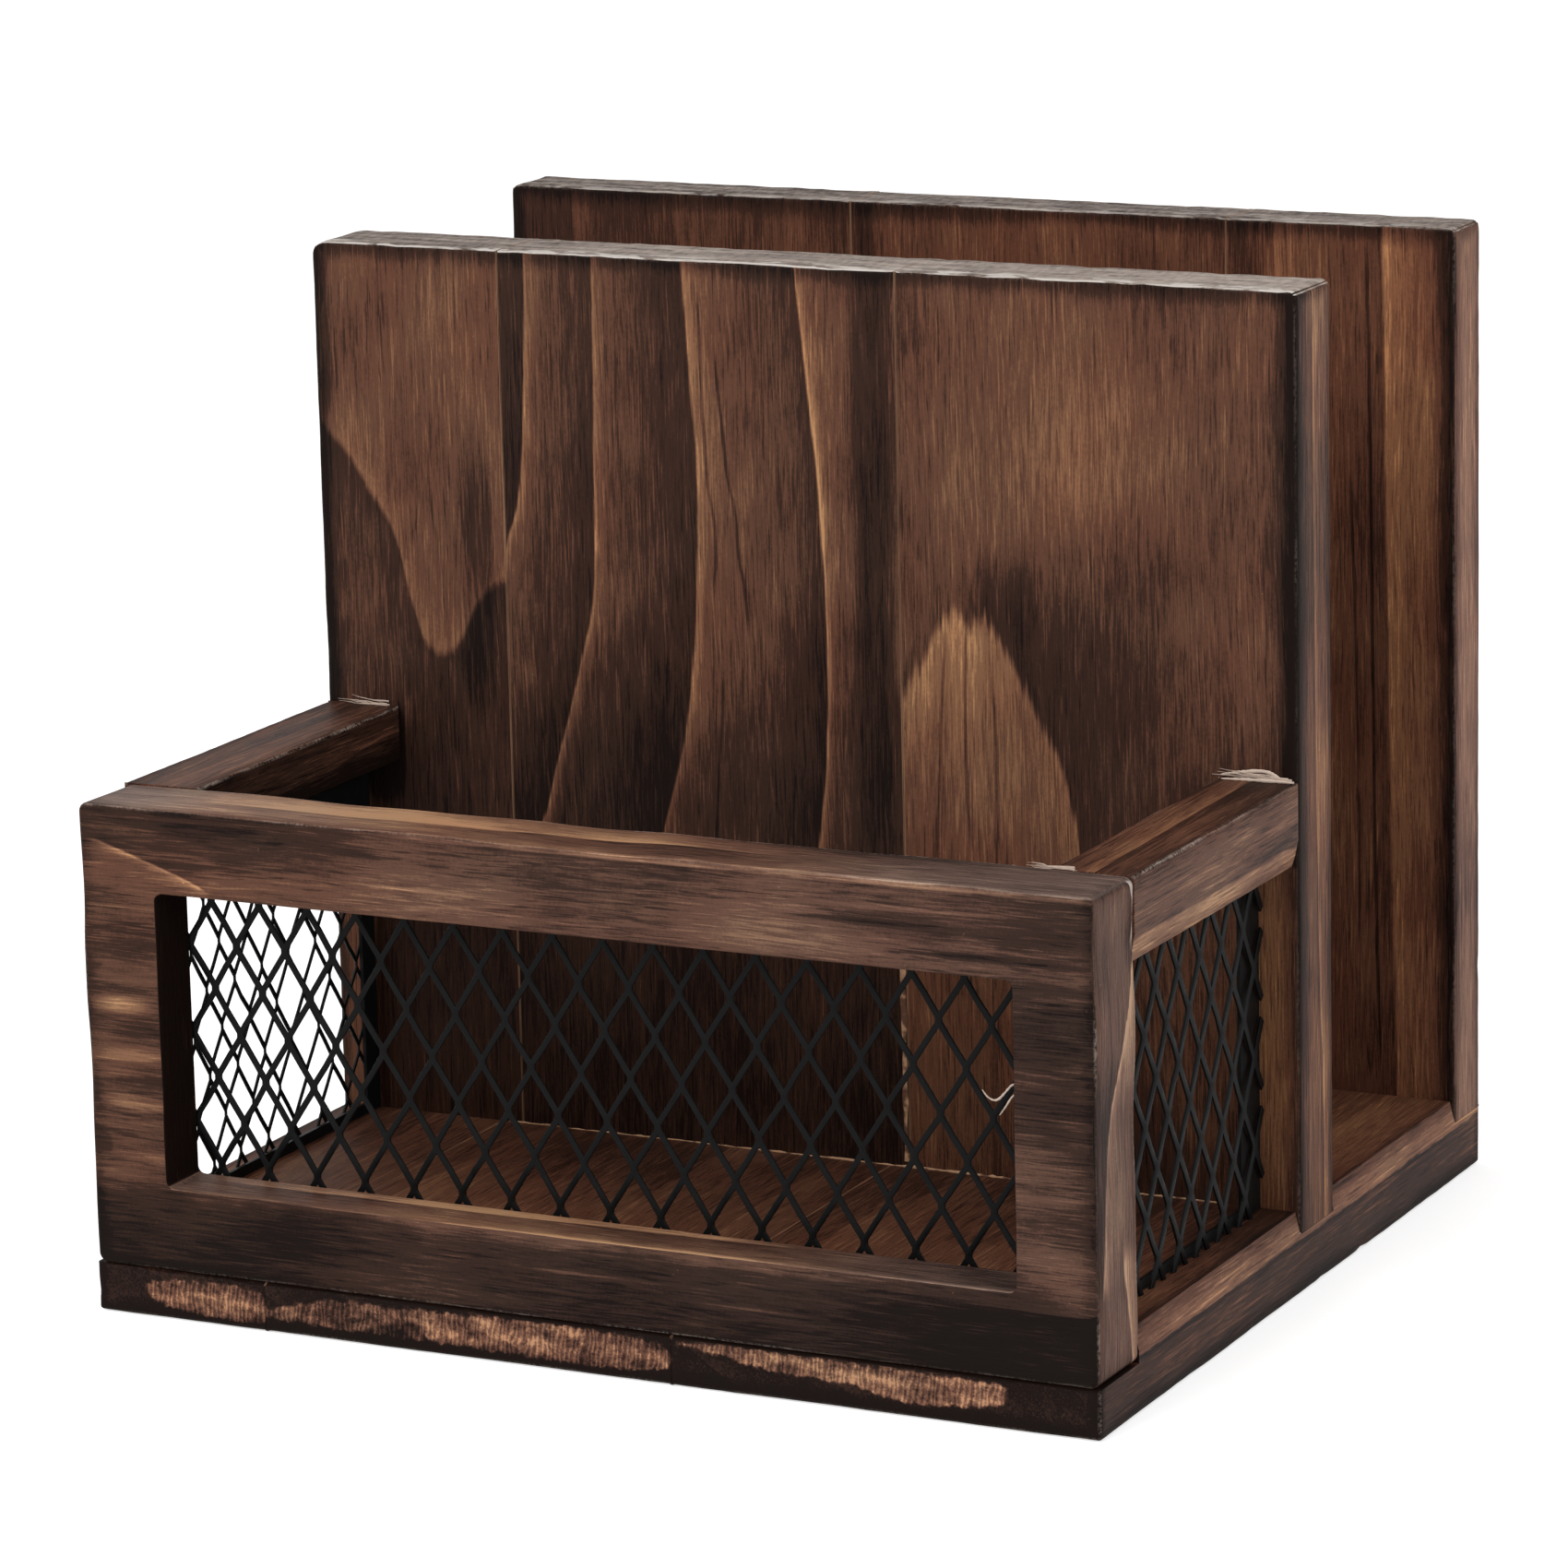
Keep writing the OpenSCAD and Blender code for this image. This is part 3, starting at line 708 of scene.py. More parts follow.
def line(gain, fade, core, width, dark, reach, *points, **more):
    """Glow and how far it fades, core and its width, dark side and its reach, then the line"""
    return mark("line", gain=gain, fade=fade, core=core, width=width, dark=dark, reach=reach,
                points=points, **more)


def blots(rows, on=None):
    """Rows of gain, middle across and along, half size across and along, and, where it isn't
    0.5, raggedness"""
    return [
        mark("blot", on, gain=gain, middle=(x, y), size=(dx, dy), ragged=(*ragged, 0.5)[0])
        for gain, x, y, dx, dy, *ragged in rows
    ]


def crack(gain, start, stop, *points):
    """How dark a crack is, from where to where it runs, and its line"""
    return mark("crack", gain=gain, span=(start, stop), points=points)


def tones(axis, on, *points, **more):
    """What is added at each place of an axis"""
    return mark("tones", on, axis=axis, points=points, **more)


def grey(axis, on, *points, **more):
    """How much greyer the board is at each place of an axis"""
    return tones(axis, on, *points, adds="grey", **more)


def wisps(gain, dark, on=None):
    """How pale and how dark the streaks of a face are"""
    return mark("wisps", on, gain=gain, dark=dark)


FADING_BELOW = {"span": (60, 200), "soft": 14}
DIVIDER_MARKS = {
    "left": [
        mark("flame", rim=0.20, flat=0.03, fade=7, dark=0.20, reach=30, points=[
            (-90, 136.5), (-88.6, 134), (-84, 129.3), (-80.9, 124.2), (-75.9, 116.4),
            (-72.2, 103), (-69.7, 97.1), (-66.7, 95.9), (-62.8, 99.1), (-61, 103.2), (-56, 109),
        ]),
        # The last two are painted shadow under and beside the end of the rail
        *blots([
            (-0.24, -59.5, 117, 5.5, 26), (-0.20, -60.0, 96, 6, 13), (-0.04, -76, 146, 18, 30),
            (-0.6, -80, 74, 6, 7, 0.2), (-0.5, -75.8, 79, 1.1, 10),
        ]),
    ],
    "centre": [
        line(0.10, 5.5, 0.54, 1.3, 0.22, 5, (60, -61), (100, -57.5), (110.2, -55.1),
             (117.8, -53.3), (123.2, -51.5), (146.3, -49.6), (164.6, -49.1), **FADING_BELOW),
        line(0.08, 4.2, 0.56, 1.0, 0.17, 6, (60, -51), (71.6, -47.4), (82.4, -44.3),
             (97.8, -39.9), (109.3, -37.7), (147, -36.6), (165.2, -36.4), **FADING_BELOW),
        line(0.17, 9.0, 0.42, 1.9, 0.17, 9, (58, -28), (70.5, -24.8), (88.2, -20.4),
             (106.8, -18.3), (128.9, -17.6), (143.5, -18.2), (165.2, -19.5), **FADING_BELOW),
        line(0.12, 5.5, 0.72, 0.9, 0.17, 6, (58, 2.6), (71.4, 4.1), (88.8, 5.8),
             (108.5, 5.9), (123.1, 5.3), (141.3, 3.8), (165.6, 1.3), **FADING_BELOW),
        line(0.04, 3, 0.16, 0.7, 0.0, 5.0, (88, -5.2), (99, -5.6), (104, -5.9), span=(88, 104)),
        crack(0.22, 110, 160, (112.8, -14.6), (118.5, -14.2), (124.2, -14.7), (129.3, -15.5),
              (160, -16.5)),
        crack(0.24, 106, 150, (106, -8.5), (108.6, -8.8), (112, -9.1), (116.5, -9.9),
              (124.4, -10.6), (130.1, -11.7), (150, -13.5)),
        crack(0.16, 60, 96, (60, -16), (80, -14.5), (96, -13.2)),
        *blots([(-0.26, 15.2, 120, 5.5, 90), (0.10, -50.5, 93, 3, 5)]),
    ],
    "right": [
        mark("flame", rim=0.16, flat=0.20, fade=16, side=-1, dark=0.10, reach=10, soft=1.8,
             ragged=9.0, span=(19, 52), points=[
                 (18, 92), (21, 98.1), (23.5, 101), (26.9, 108.4), (29.8, 110.9), (31.9, 107.6),
                 (34, 109.6), (38, 105), (41.4, 99.3), (43.8, 94.6), (46.8, 88.1), (49.8, 80),
                 (52, 66),
             ]),
        *blots([
            (-0.20, 49, 104, 26, 32, 0.3), (-0.14, 38, 112, 10, 11, 0.4),
            (0.14, 54, 139, 22, 30), (0.06, 66, 100, 16, 40),
        ]),
        crack(0.22, 60, 104, (60, 25.2), (85, 26.4), (104, 27.6)),
        crack(0.26, 72, 108, (72, 31.5), (90, 31.2), (108, 31.8)),
        crack(0.20, 58, 98, (58, 35.6), (80, 36.6), (98, 36.1)),
    ],
    "all": [
        # Painted shade: front and back faces darker towards the foot, most inside the basket
        tones("z", "y", (14, -0.26), (50, -0.24), (76, -0.18), (88, -0.10), (100, -0.03),
              (125, 0.02), (166, 0.0), ragged=10.0),
        tones("x", "y", (-90, -0.34), (-88.4, -0.22), (-86, -0.06), (-83, 0), (-76, 0),
              (-60, 0), (60, 0), (76, 0), (83, 0), (85.4, -0.06), (88, -0.28), (90, -0.40),
              ragged=1.5, where=("z", 86, 170)),
        # The strips outside the side sheets get less of that painted shade
        tones("x", "y", (-90, 0.22), (-83, 0.30), (-82, 0.02), (-78, 0), (-60, 0), (60, 0),
              (78, 0), (82, 0.02), (83, 0.30), (90, 0.22), where=("z", 12, 72)),
        *blots([(0.16, 74, 45, 26, 45, 0.2)], "y"),
        # Less grey low down, where the painted shade lies
        grey("z", "y", (14, -0.08), (60, -0.06), (84, 0), (166, 0)),
        tones("y", "x", (-0.9, -0.24), (3, -0.16), (5, 0.04), (9, 0.04), (14, 0.10), ragged=1.0),
        grey("z", "x", (14, 0.0), (166, 0.08)),
        wisps(0.18, 0.2, "x"),
        line(0.08, 2.5, 0.46, 0.7, 0.20, 1.2, (14, 9.9), (33, 9.4), (53, 8.1), (90, 7.0),
             (166, 6.0), on="x", axes="zy"),
    ],
}
BACK_MARKS = {
    "left": [mark("rings", gain=0.14, spacing=21, angle=14, decay=4)],
    "centre": [
        mark("rings", gain=0.10, spacing=17, angle=18, decay=4),
        *blots([(-0.26, -20.2, 120, 3.6, 160)]),
    ],
    "right": [
        *blots([(-0.30, 51.0, 120, 6, 170)]),
        line(0.15, 16, 0.2, 2.2, 0.14, 8, (20, 79.5), (54.2, 78.5), (114.8, 77.7),
             (164.4, 76.9)),
        line(0.08, 9, 0.12, 1.5, 0.05, 5.0, (20, 60.5), (90, 58.6), (164.4, 57.4)),
        crack(0.3, 20, 160, (20, 76.4), (60, 75.4), (110, 74.9), (160, 74.2)),
        crack(0.22, 40, 120, (40, 72.6), (80, 72.2), (120, 71.2)),
    ],
    "all": [
        tones("x", "y", (-90, -0.3), (-87, -0.1), (-83, 0), (84, 0), (86.6, -0.14),
              (90, -0.34), ragged=1.5),
        tones("z", "x", (14, 0.05), (166, 0.12)),
        grey("z", "x", (14, 0.26), (166, 0.22)),
        wisps(0.16, 0.2, "x"),
    ],
}
BASE_MARKS = [
    mark("rings", gain=0.14, spacing=9.5, angle=62, decay=2.2, wander=26, flow=0.004),
    # Top faces: painted shade, darkest on the seat under the frame where the gap shows it, and
    # darker across the basket floor towards the divider's foot
    tones("y", "top", (-90, -0.6), (-72, -0.6), (-68, 0.02), (-40, -0.04), (-3, -0.20),
          (8, 0.08), (70, 0.06), ragged=8.0),
    tones("x", "top", (-90, 0.12), (0, 0.02), (90, 0.0)),
    tones("z", "y", (0, -0.50), (3, -0.42), (8.2, -0.44), (14, -0.1), ragged=2.0),
    grey("x", "y", (-90, 0.12), (90, 0.14)),
    tones("z", "x", (0, -0.30), (8.0, -0.24), (8.9, -0.40), (9.5, 0.14), (13.6, 0.24),
          ragged=1.2),
    grey("z", "x", (0, 0.05), (13.6, 0.16)),
    wisps(0.2, 0.1, "x"),
]
# Where the saw bared the front edge: how pale, from where to where, and its outline
BARED = [
    (0.60, (-80.5, -57.9), [(-80.8, 4.6), (-74.9, 1.7), (-64.3, 1.0), (-59, 1.2), (-57.8, 3.4)],
     [(-80.8, 5.4), (-73.9, 6.9), (-60.3, 6.8), (-57.8, 3.9)]),
    (0.50, (-57.6, -29), [(-57.9, 2.4), (-47.8, 2.0), (-29, 1.8)],
     [(-57.9, 3.9), (-50.7, 5.6), (-43.2, 7.1), (-36, 6.9), (-29, 7.2)]),
    (0.70, (-29, 15.8),
     [(-28.6, 3.0), (-25.7, 1.8), (-11.2, 1.4), (1, 1.2), (13.1, 2.0), (16, 4)],
     [(-28.4, 7.2), (-11, 7.6), (2.6, 7.6), (11.9, 7.1), (16, 4.6)]),
    (0.70, (17, 74), [(16.4, 6.7), (22.8, 6), (34.3, 4.4), (47.1, 3.9), (56.9, 2.2),
                      (63.9, 2.4), (75.1, 5.4)],
     [(16.4, 6.9), (25.1, 7.8), (50, 7.6), (71, 7.4), (75.1, 6.1)]),
]
BASE_MARKS += [
    mark("patch", "y", ("y", -84, 0), gain=gain, span=span, low=lower, high=upper, axes="xz")
    for gain, span, lower, upper in BARED
]
RIGHT_EDGE = {"on": "x", "where": ("x", 88, 92)}
# A bare streak that hooks back at the top of the right edge
HOOK = ((76, -68.6), (81, -67.9), (84, -68.6), (86, -70.2))
FRAME_MARKS = [
    # Tones of the face: along the board, then the lower bar and the two stiles
    tones("x", "y", (-90, -0.12), (-87, 0.0), (-55, 0.04), (-10, 0.05), (30, 0.02), (70, -0.05),
          (84, -0.08), (90, -0.22), ragged=16.0),
    tones("z", "y", (8, -0.27), (18.5, -0.22), (24.5, 0.0), (70, 0.0), (75, 0.08), (79, -0.02),
          (86, 0.0), ragged=3.0),
    grey("x", "y", (-90, 0.05), (-50, 0.08), (-20, 0.14), (10, 0.14), (60, 0.18), (90, 0.14),
         ragged=20.0),
    # Top edge, lighter and greyer as painted sheen; outer edges; and the reveals of the window,
    # darker as painted shade
    tones("x", "top", (-90, 0.30), (-60, 0.38), (-25, 0.40), (20, 0.24), (60, 0.08),
          (90, 0.16), ragged=12.0),
    line(0.12, 4, 0.3, 2, 0.26, 7, (-90, -74.5), (-40, -75.5), (0, -75), (40, -74), on="top",
         axes="xy", span=(-66, 30), soft=16),
    grey("x", "top", (-90, 0.55), (-75, 0.35), (-60, 0.16), (20, 0.1), (60, 0.4), (90, 0.5)),
    tones("x", "x", (-90, 0.24), (-84, -0.34), (0, -0.34), (84, -0.30), (90, 0.27)),
    grey("z", "x", (8, 0.22), (72, 0.26), (90, 0.12), where=("x", 88, 92)),
    wisps(0.16, 0.2, "x"),
    line(0.22, 9, 0.5, 0.9, 0.12, 5, (18, -82.2), (25, -80.5), (39.9, -78.9), (47.9, -77.3),
         (56.7, -74.2), (67.7, -69.7), (74.9, -67.6), axes="zy", span=(23, 78), **RIGHT_EDGE),
    line(0.30, 8, 0.3, 0.8, 0.12, 5, (8.8, -69.5), (16.7, -71.1), (24.6, -72.7), axes="zy",
         span=(6, 27), **RIGHT_EDGE),
    line(0.0, 5.0, 1.1, 1.5, 0.1, 2, *HOOK, axes="zy", span=(76, 90), **RIGHT_EDGE),
    line(0.0, 5.0, 1.1, 1.5, 0.0, 5.0, *HOOK, axes="zy", span=(76, 90), adds="grey", **RIGHT_EDGE),
    # Pale ring edges at the top left, and the rubbed front arris
    line(0.05, 1.6, 0.34, 0.35, 0.04, 2, (-90, 77.6), (-76.1, 77.7), (-47.1, 76.8),
         (-10, 76.4), on="y", span=(-88, -10), soft=8, ragged=0.4),
    line(0.10, 1.5, 0.6, 0.6, 0.12, 2.5, (-87, 80.2), (-85.1, 79.6), (-70.2, 74.7),
         (-66.5, 73.1), on="y", side=-1, span=(-87, -66), ragged=0.4),
    line(0.0, 5.0, 0.8, 0.9, 0.0, 5.0, (-30, 84.9), (92, 84.9), on="y", span=(-30, 92),
         soft=16, ragged=0.3),
    line(0.0, 5.0, 0.9, 0.9, 0.0, 5.0, (-30, -83), (92, -83), on="top", axes="xy",
         span=(-20, 92), soft=16, ragged=0.3),
    wisps(0.08, 0.07, "y"),
    wisps(0.18, 0.14, "top"),
    *blots([
        (-0.16, 84, -72, 4, 26), (-0.17, 80, -58, 9, 38), (0.16, 13, 80, 6, 14),
        # Orange streaks of the left stile
        (0.50, 52.6, -83, 2.4, 9), (0.36, 44.2, -80, 2.2, 12), (0.34, 36, -81, 2.0, 11),
        (0.18, 27, -78, 1.6, 8), (-0.16, 63, -80, 6, 12), (-0.12, 40, -78, 1.6, 12),
        (-0.12, 48.5, -78, 1.4, 10),
        # Right stile: dark, with a brown swirl low down
        (0.20, 26, 82, 7, 13),
    ], "y"),
    line(0.10, 5, 0.18, 0.8, 0.10, 7, (60, 21), (80, 19.4), (90, 20.6), on="y", axes="xz",
         span=(74, 110), soft=12),
    *blots([
        (-0.12, 12, 74, 5, 26), (-0.20, 55, 83, 18, 16),
        # Pale streaks of the lower bar and the right half of the upper bar
        (0.26, 16.5, 2, 0.7, 22), (0.22, 14.2, 30, 0.5, 14), (0.26, 81.5, 58, 0.5, 20),
        (-0.24, 79, 50, 0.7, 18), (-0.2, 75, 72, 0.9, 20),
    ], "y"),
    mark("rings", "y", gain=0.10, spacing=19, angle=12, decay=2.6, wander=34, flow=0.005),
]


# ---- The boards ----


def board_sizes():
    """Arris, seam and grid, in millimetres"""
    sizes = bpy.context.scene.board_sizes
    return sizes.arris / MM, sizes.seam / MM, sizes.grid / MM


def edge_glued(prefix):
    """For each stave of a panel: its number, node and corners, the sides where the panel ends,
    and how its sides in X are rounded and meshed"""
    arris, seam, _ = board_sizes()
    for place, stave in enumerate(STAVES):
        node = f"{prefix}_stave_{stave}"
        outer = [side for side, end in ((-1, 0), (1, len(STAVES) - 1)) if place == end]
        radii = [arris if side in outer else seam for side in (-1, 1)]
        yield place, node, *mm_box(node), outer, radii, ARRIS_LINES if outer else SEAM_LINES


def panel(prefix):
    """Corners of a whole panel and the places of its glue lines"""
    nodes = [f"{prefix}_stave_{stave}" for stave in STAVES]
    return *mm_box(*nodes), [mm_box(n)[1][0] for n in nodes[:-1]]


def round_corner(points, x, z, radius, side):
    """Rounds the corner of a board in X and Z. side is -1 for a left corner and 1 for a right."""
    away = np.stack([(points[:, 0] - x) * side + radius, points[:, 2] - z + radius], 1)
    inside = (away > 0).all(1)
    drawn = away[inside] * (away[inside].max(1) / np.linalg.norm(away[inside], axis=1))[:, None]
    points[inside, 0] = x + side * (drawn[:, 0] - radius)
    points[inside, 2] = z + drawn[:, 1] - radius


FOOT_UNBURNT = 60
CROWN_ROUGH, CROWN_DEPTH = 1.2, 0.07


def standing_panel(prefix, marks, tone, crown, seed, red, corners):
    """The staves of a standing panel, from their CAD boxes."""
    arris, seam, step = board_sizes()
    hollow_size = bpy.context.scene.board_sizes.hollow / MM
    low, high, seams = panel(prefix)
    for place, node, a, b, outer, sides, lines in edge_glued(prefix):
        xs = grid_lines(a[0], b[0], step, lines)
        ys = grid_lines(a[1], b[1], step, ARRIS_LINES)
        zs = grid_lines(a[2], b[2], step * 0.85, ARRIS_LINES)
        points, quads = block_shell(xs, ys, zs, np.array(False))
        radii = np.array([*sides, arris, arris, seam, arris * 0.8])
        points = soften(points, a, b, radii, place * 7 + 3)
        hollow = hollow_size * (1 + wave(points * (1, 0, 1), 60, place + 20)) / (b[1] - a[1])
        points[:, 1] -= (points[:, 1] - (a[1] + b[1]) / 2) * np.clip(hollow, 0, 1)
        rough = np.clip((points[:, 2] - (high[2] - CROWN_ROUGH)) / CROWN_ROUGH, 0, 1)
        points[:, 2] -= rough * CROWN_DEPTH * np.clip(1 + wave(points, 3.6, place + 40), 0, 3)
        for side in outer:
            round_corner(points, (low if side < 0 else high)[0], high[2], corners[side > 0], side)
        material = torched_pine(
            f"{node}_pine", "z", low - (0, 0, FOOT_UNBURNT), high, tone[place],
            marks=marks[STAVES[place]] + marks["all"], seams=seams, seed=seed + place * 1.7,
            red=red, crown=crown, tilt=0.3, wear_and_highlight=0.12,
        )
        new_piece(node + "_board", points, quads, material, [node])


class NAPKIN_OT_divider(bpy.types.Operator):
    """Three staves of the divider, with the rings that show between basket and slot"""

    bl_idname = "napkin.divider"
    bl_label = "Divider"

    def execute(self, context):
        # How light the top edge is along its length, painted sheen included
        crown = ((-90, 0.32), (-60, 0.38), (-52, 0.46), (-10, 0.56), (50, 0.64), (90, 0.72))
        standing_panel("divider", DIVIDER_MARKS, (0.50, 0.40, 0.50), (crown, 0.8), 1.0, 0.15,
                       corners=(2.6, 1.4))
        return {"FINISHED"}


class NAPKIN_OT_back_panel(bpy.types.Operator):
    """Three staves of the back panel"""

    bl_idname = "napkin.back_panel"
    bl_label = "Back panel"

    def execute(self, context):
        # How light the top edge is along its length, painted sheen included
        crown = ((-90, 0.30), (0, 0.30), (90, 0.42))
        standing_panel("back", BACK_MARKS, (0.36, 0.42, 0.53), (crown, 0.35), 9.0, 0.8,
                       corners=(1.4, 1.2))
        return {"FINISHED"}


BASE_TONES = (0.50, 0.46, 0.48)
BASE_BEVEL, BASE_BEVEL_WIDTH = 0.9, 6
LIP_WORN = 0.4


class NAPKIN_OT_base(bpy.types.Operator):
    """Three staves of the base, with the seats of the frame and the two panels"""

    bl_idname = "napkin.base"
    bl_label = "Base"

    def execute(self, context):
        arris, seam, step = board_sizes()
        low, high, seams = panel("base")
        frame_low, frame_high = mm_box("front_frame")
        divider_low, divider_high = mm_box("divider_stave_left")
        frame_z, housing_z = frame_low[2], divider_low[2]
        cuts = [frame_high[1], divider_low[1], divider_high[1], mm_box("back_stave_left")[0][1]]
        for place, node, a, b, outer, sides, lines in edge_glued("base"):
            xs = grid_lines(a[0], b[0], step, lines)
            ys = grid_lines(a[1], b[1], step, ARRIS_LINES, cuts)
            zs = grid_lines(a[2], b[2], step, ARRIS_LINES, [frame_z, housing_z])
            ym, zm = (ys[1:] + ys[:-1]) / 2, (zs[1:] + zs[:-1]) / 2
            seat = (ym < cuts[0])[:, None] & (zm > frame_z)
            housings = ((ym > cuts[1]) & (ym < cuts[2])) | (ym > cuts[3])
            seat |= housings[:, None] & (zm > housing_z)
            points, quads = block_shell(xs, ys, zs, seat)
            radii = np.array([*sides, arris, arris, arris * 0.9, seam])
            points = soften(points, a, b, radii, place * 5 + 60)
            bevel = np.clip((points[:, 2] - housing_z) / (high[2] - housing_z), 0, 1) * BASE_BEVEL
            for side in outer:
                beside = near_to(abs(points[:, 0] - side * high[0]), BASE_BEVEL_WIDTH)
                points[:, 0] -= side * bevel * beside
            lip = (points[:, 1] < cuts[0]) & (points[:, 2] > frame_z - 0.01)
            worn = LIP_WORN * near_to(points[lip, 1] - a[1], 1.0) ** 2
            points[lip, 2] -= worn * (1 + 0.5 * wave(points[lip], 12, place + 70))
            material = torched_pine(
                f"{node}_pine", "y", low, high, BASE_TONES[place], marks=BASE_MARKS, seams=seams,
                seed=3.1 + place * 2.3, red=0.5,
            )
            piece = new_piece(node + "_board", points, quads, material, [node])
            countersink(piece, a, b)
        return {"FINISHED"}


# Where the screws stand across the base, as shares of its width, and their rows by node
SCREW_SHARES = (-0.4, -0.055, 0.345)
SCREW_ROWS = {"panel_screws": 2, "frame_screws": 1}
HOLE_SIDES, HOLE_CLEARANCE, HOLE_TIP = 32, 0.12, 1.6


def screw_places(node):
    """Where the screws of a node stand, and the radius of their heads, in millimetres"""
    low, high = mm_box(node)
    width = np.ptp(np.array(mm_box("base_stave_left", "base_stave_right"))[:, 0])
    radius = high[0] - max(SCREW_SHARES) * width
    ys = [low[1] + radius, high[1] - radius][:SCREW_ROWS[node]]
    return [(share * width, y) for y in ys for share in SCREW_SHARES], radius


def countersink(piece, low, high):
    """Opens the underside of a board round the heads of its screws"""
    bm = bmesh.new()
    for node in SCREW_ROWS:
        places, radius = screw_places(node)
        wide = radius + HOLE_CLEARANCE
        for x, y in places:
            if not low[0] < x < high[0]:
                continue
            verts = []
            for r, z in ((wide, -0.4), (wide, 0.55), (HOLE_TIP, radius + 0.2)):
                for k in range(HOLE_SIDES):
                    a = math.tau * k / HOLE_SIDES
                    place = ((x + r * math.cos(a)) * MM, (y + r * math.sin(a)) * MM, z * MM)
                    verts.append(bm.verts.new(place))
            for face in tube(0, 3, HOLE_SIDES):
                bm.faces.new([verts[k] for k in face])
    data = bpy.data.meshes.new("countersinks")
    bm.to_mesh(data)
    bm.free()
    cutter = bpy.data.objects.new("countersinks", data)
    bpy.context.scene.collection.objects.link(cutter)
    cut = piece.modifiers.new("countersink", "BOOLEAN")
    cut.operation, cut.object, cut.solver = "DIFFERENCE", cutter, "EXACT"
    graph = bpy.context.evaluated_depsgraph_get()
    final = bpy.data.meshes.new_from_object(piece.evaluated_get(graph))
    piece.modifiers.clear()
    old, piece.data = piece.data, final
    bpy.data.meshes.remove(old)
    bpy.data.objects.remove(cutter)
    bpy.data.meshes.remove(data)


def rounded_rectangle(half, centre, radius, offset, side_steps=(26, 70), corner_steps=6):
    """Points round a rounded rectangle in X and Z, shrunk by the offset on every side."""
    hx, hz = half[0] - offset, half[1] - offset
    r = max(radius - offset, 0.02)
    corners = [(1, -1, -90), (1, 1, 0), (-1, 1, 90), (-1, -1, 180)]

    def on_corner(i, degrees):
        sx, sz, _ = corners[i % 4]
        a = math.radians(degrees)
        middle = np.array([centre[0] + sx * (hx - r), centre[1] + sz * (hz - r)])
        return middle + r * np.array([math.cos(a), math.sin(a)])

    points = []
    for i, (_, _, start) in enumerate(corners):
        points += [on_corner(i, start + 90 * k / corner_steps) for k in range(corner_steps + 1)]
        end = on_corner(i + 1, start + 90)
        count = side_steps[i % 2]
        points += [points[-1] + (end - points[-1]) * k / count for k in range(1, count)]
    return np.array(points)


# The frame: stiles, upper bar, lower bar above the base, rebate and eased arrises
STILE, UPPER_BAR, LOWER_BAR = 14.0, 14.2, 8.2
REBATE, REBATE_STEP = 4.4, 2.2
OUTER_RADIUS, WINDOW_RADIUS, REBATE_RADIUS = 1.6, 1.3, 1.0
WINDOW_EASED, CRISP = 0.3, 0.15
FACE_SHARES = (0.06, 0.14, 0.26, 0.38, 0.5, 0.62, 0.74, 0.86, 0.94, 1.0)
# How deep the outer edges, the front arrises and the top edge are worn, and how far in
EDGE_WORN, EDGE_REACH, EDGE_MOST = 0.28, 9, 0.9
FRONT_WORN, FRONT_REACH = 0.09, 1.2
TOP_WORN, TOP_REACH = 0.12, 1.5


def window_bottom():
    """Height of the lower edge of the window"""
    return mm_box("base_stave_left")[1][2] + LOWER_BAR


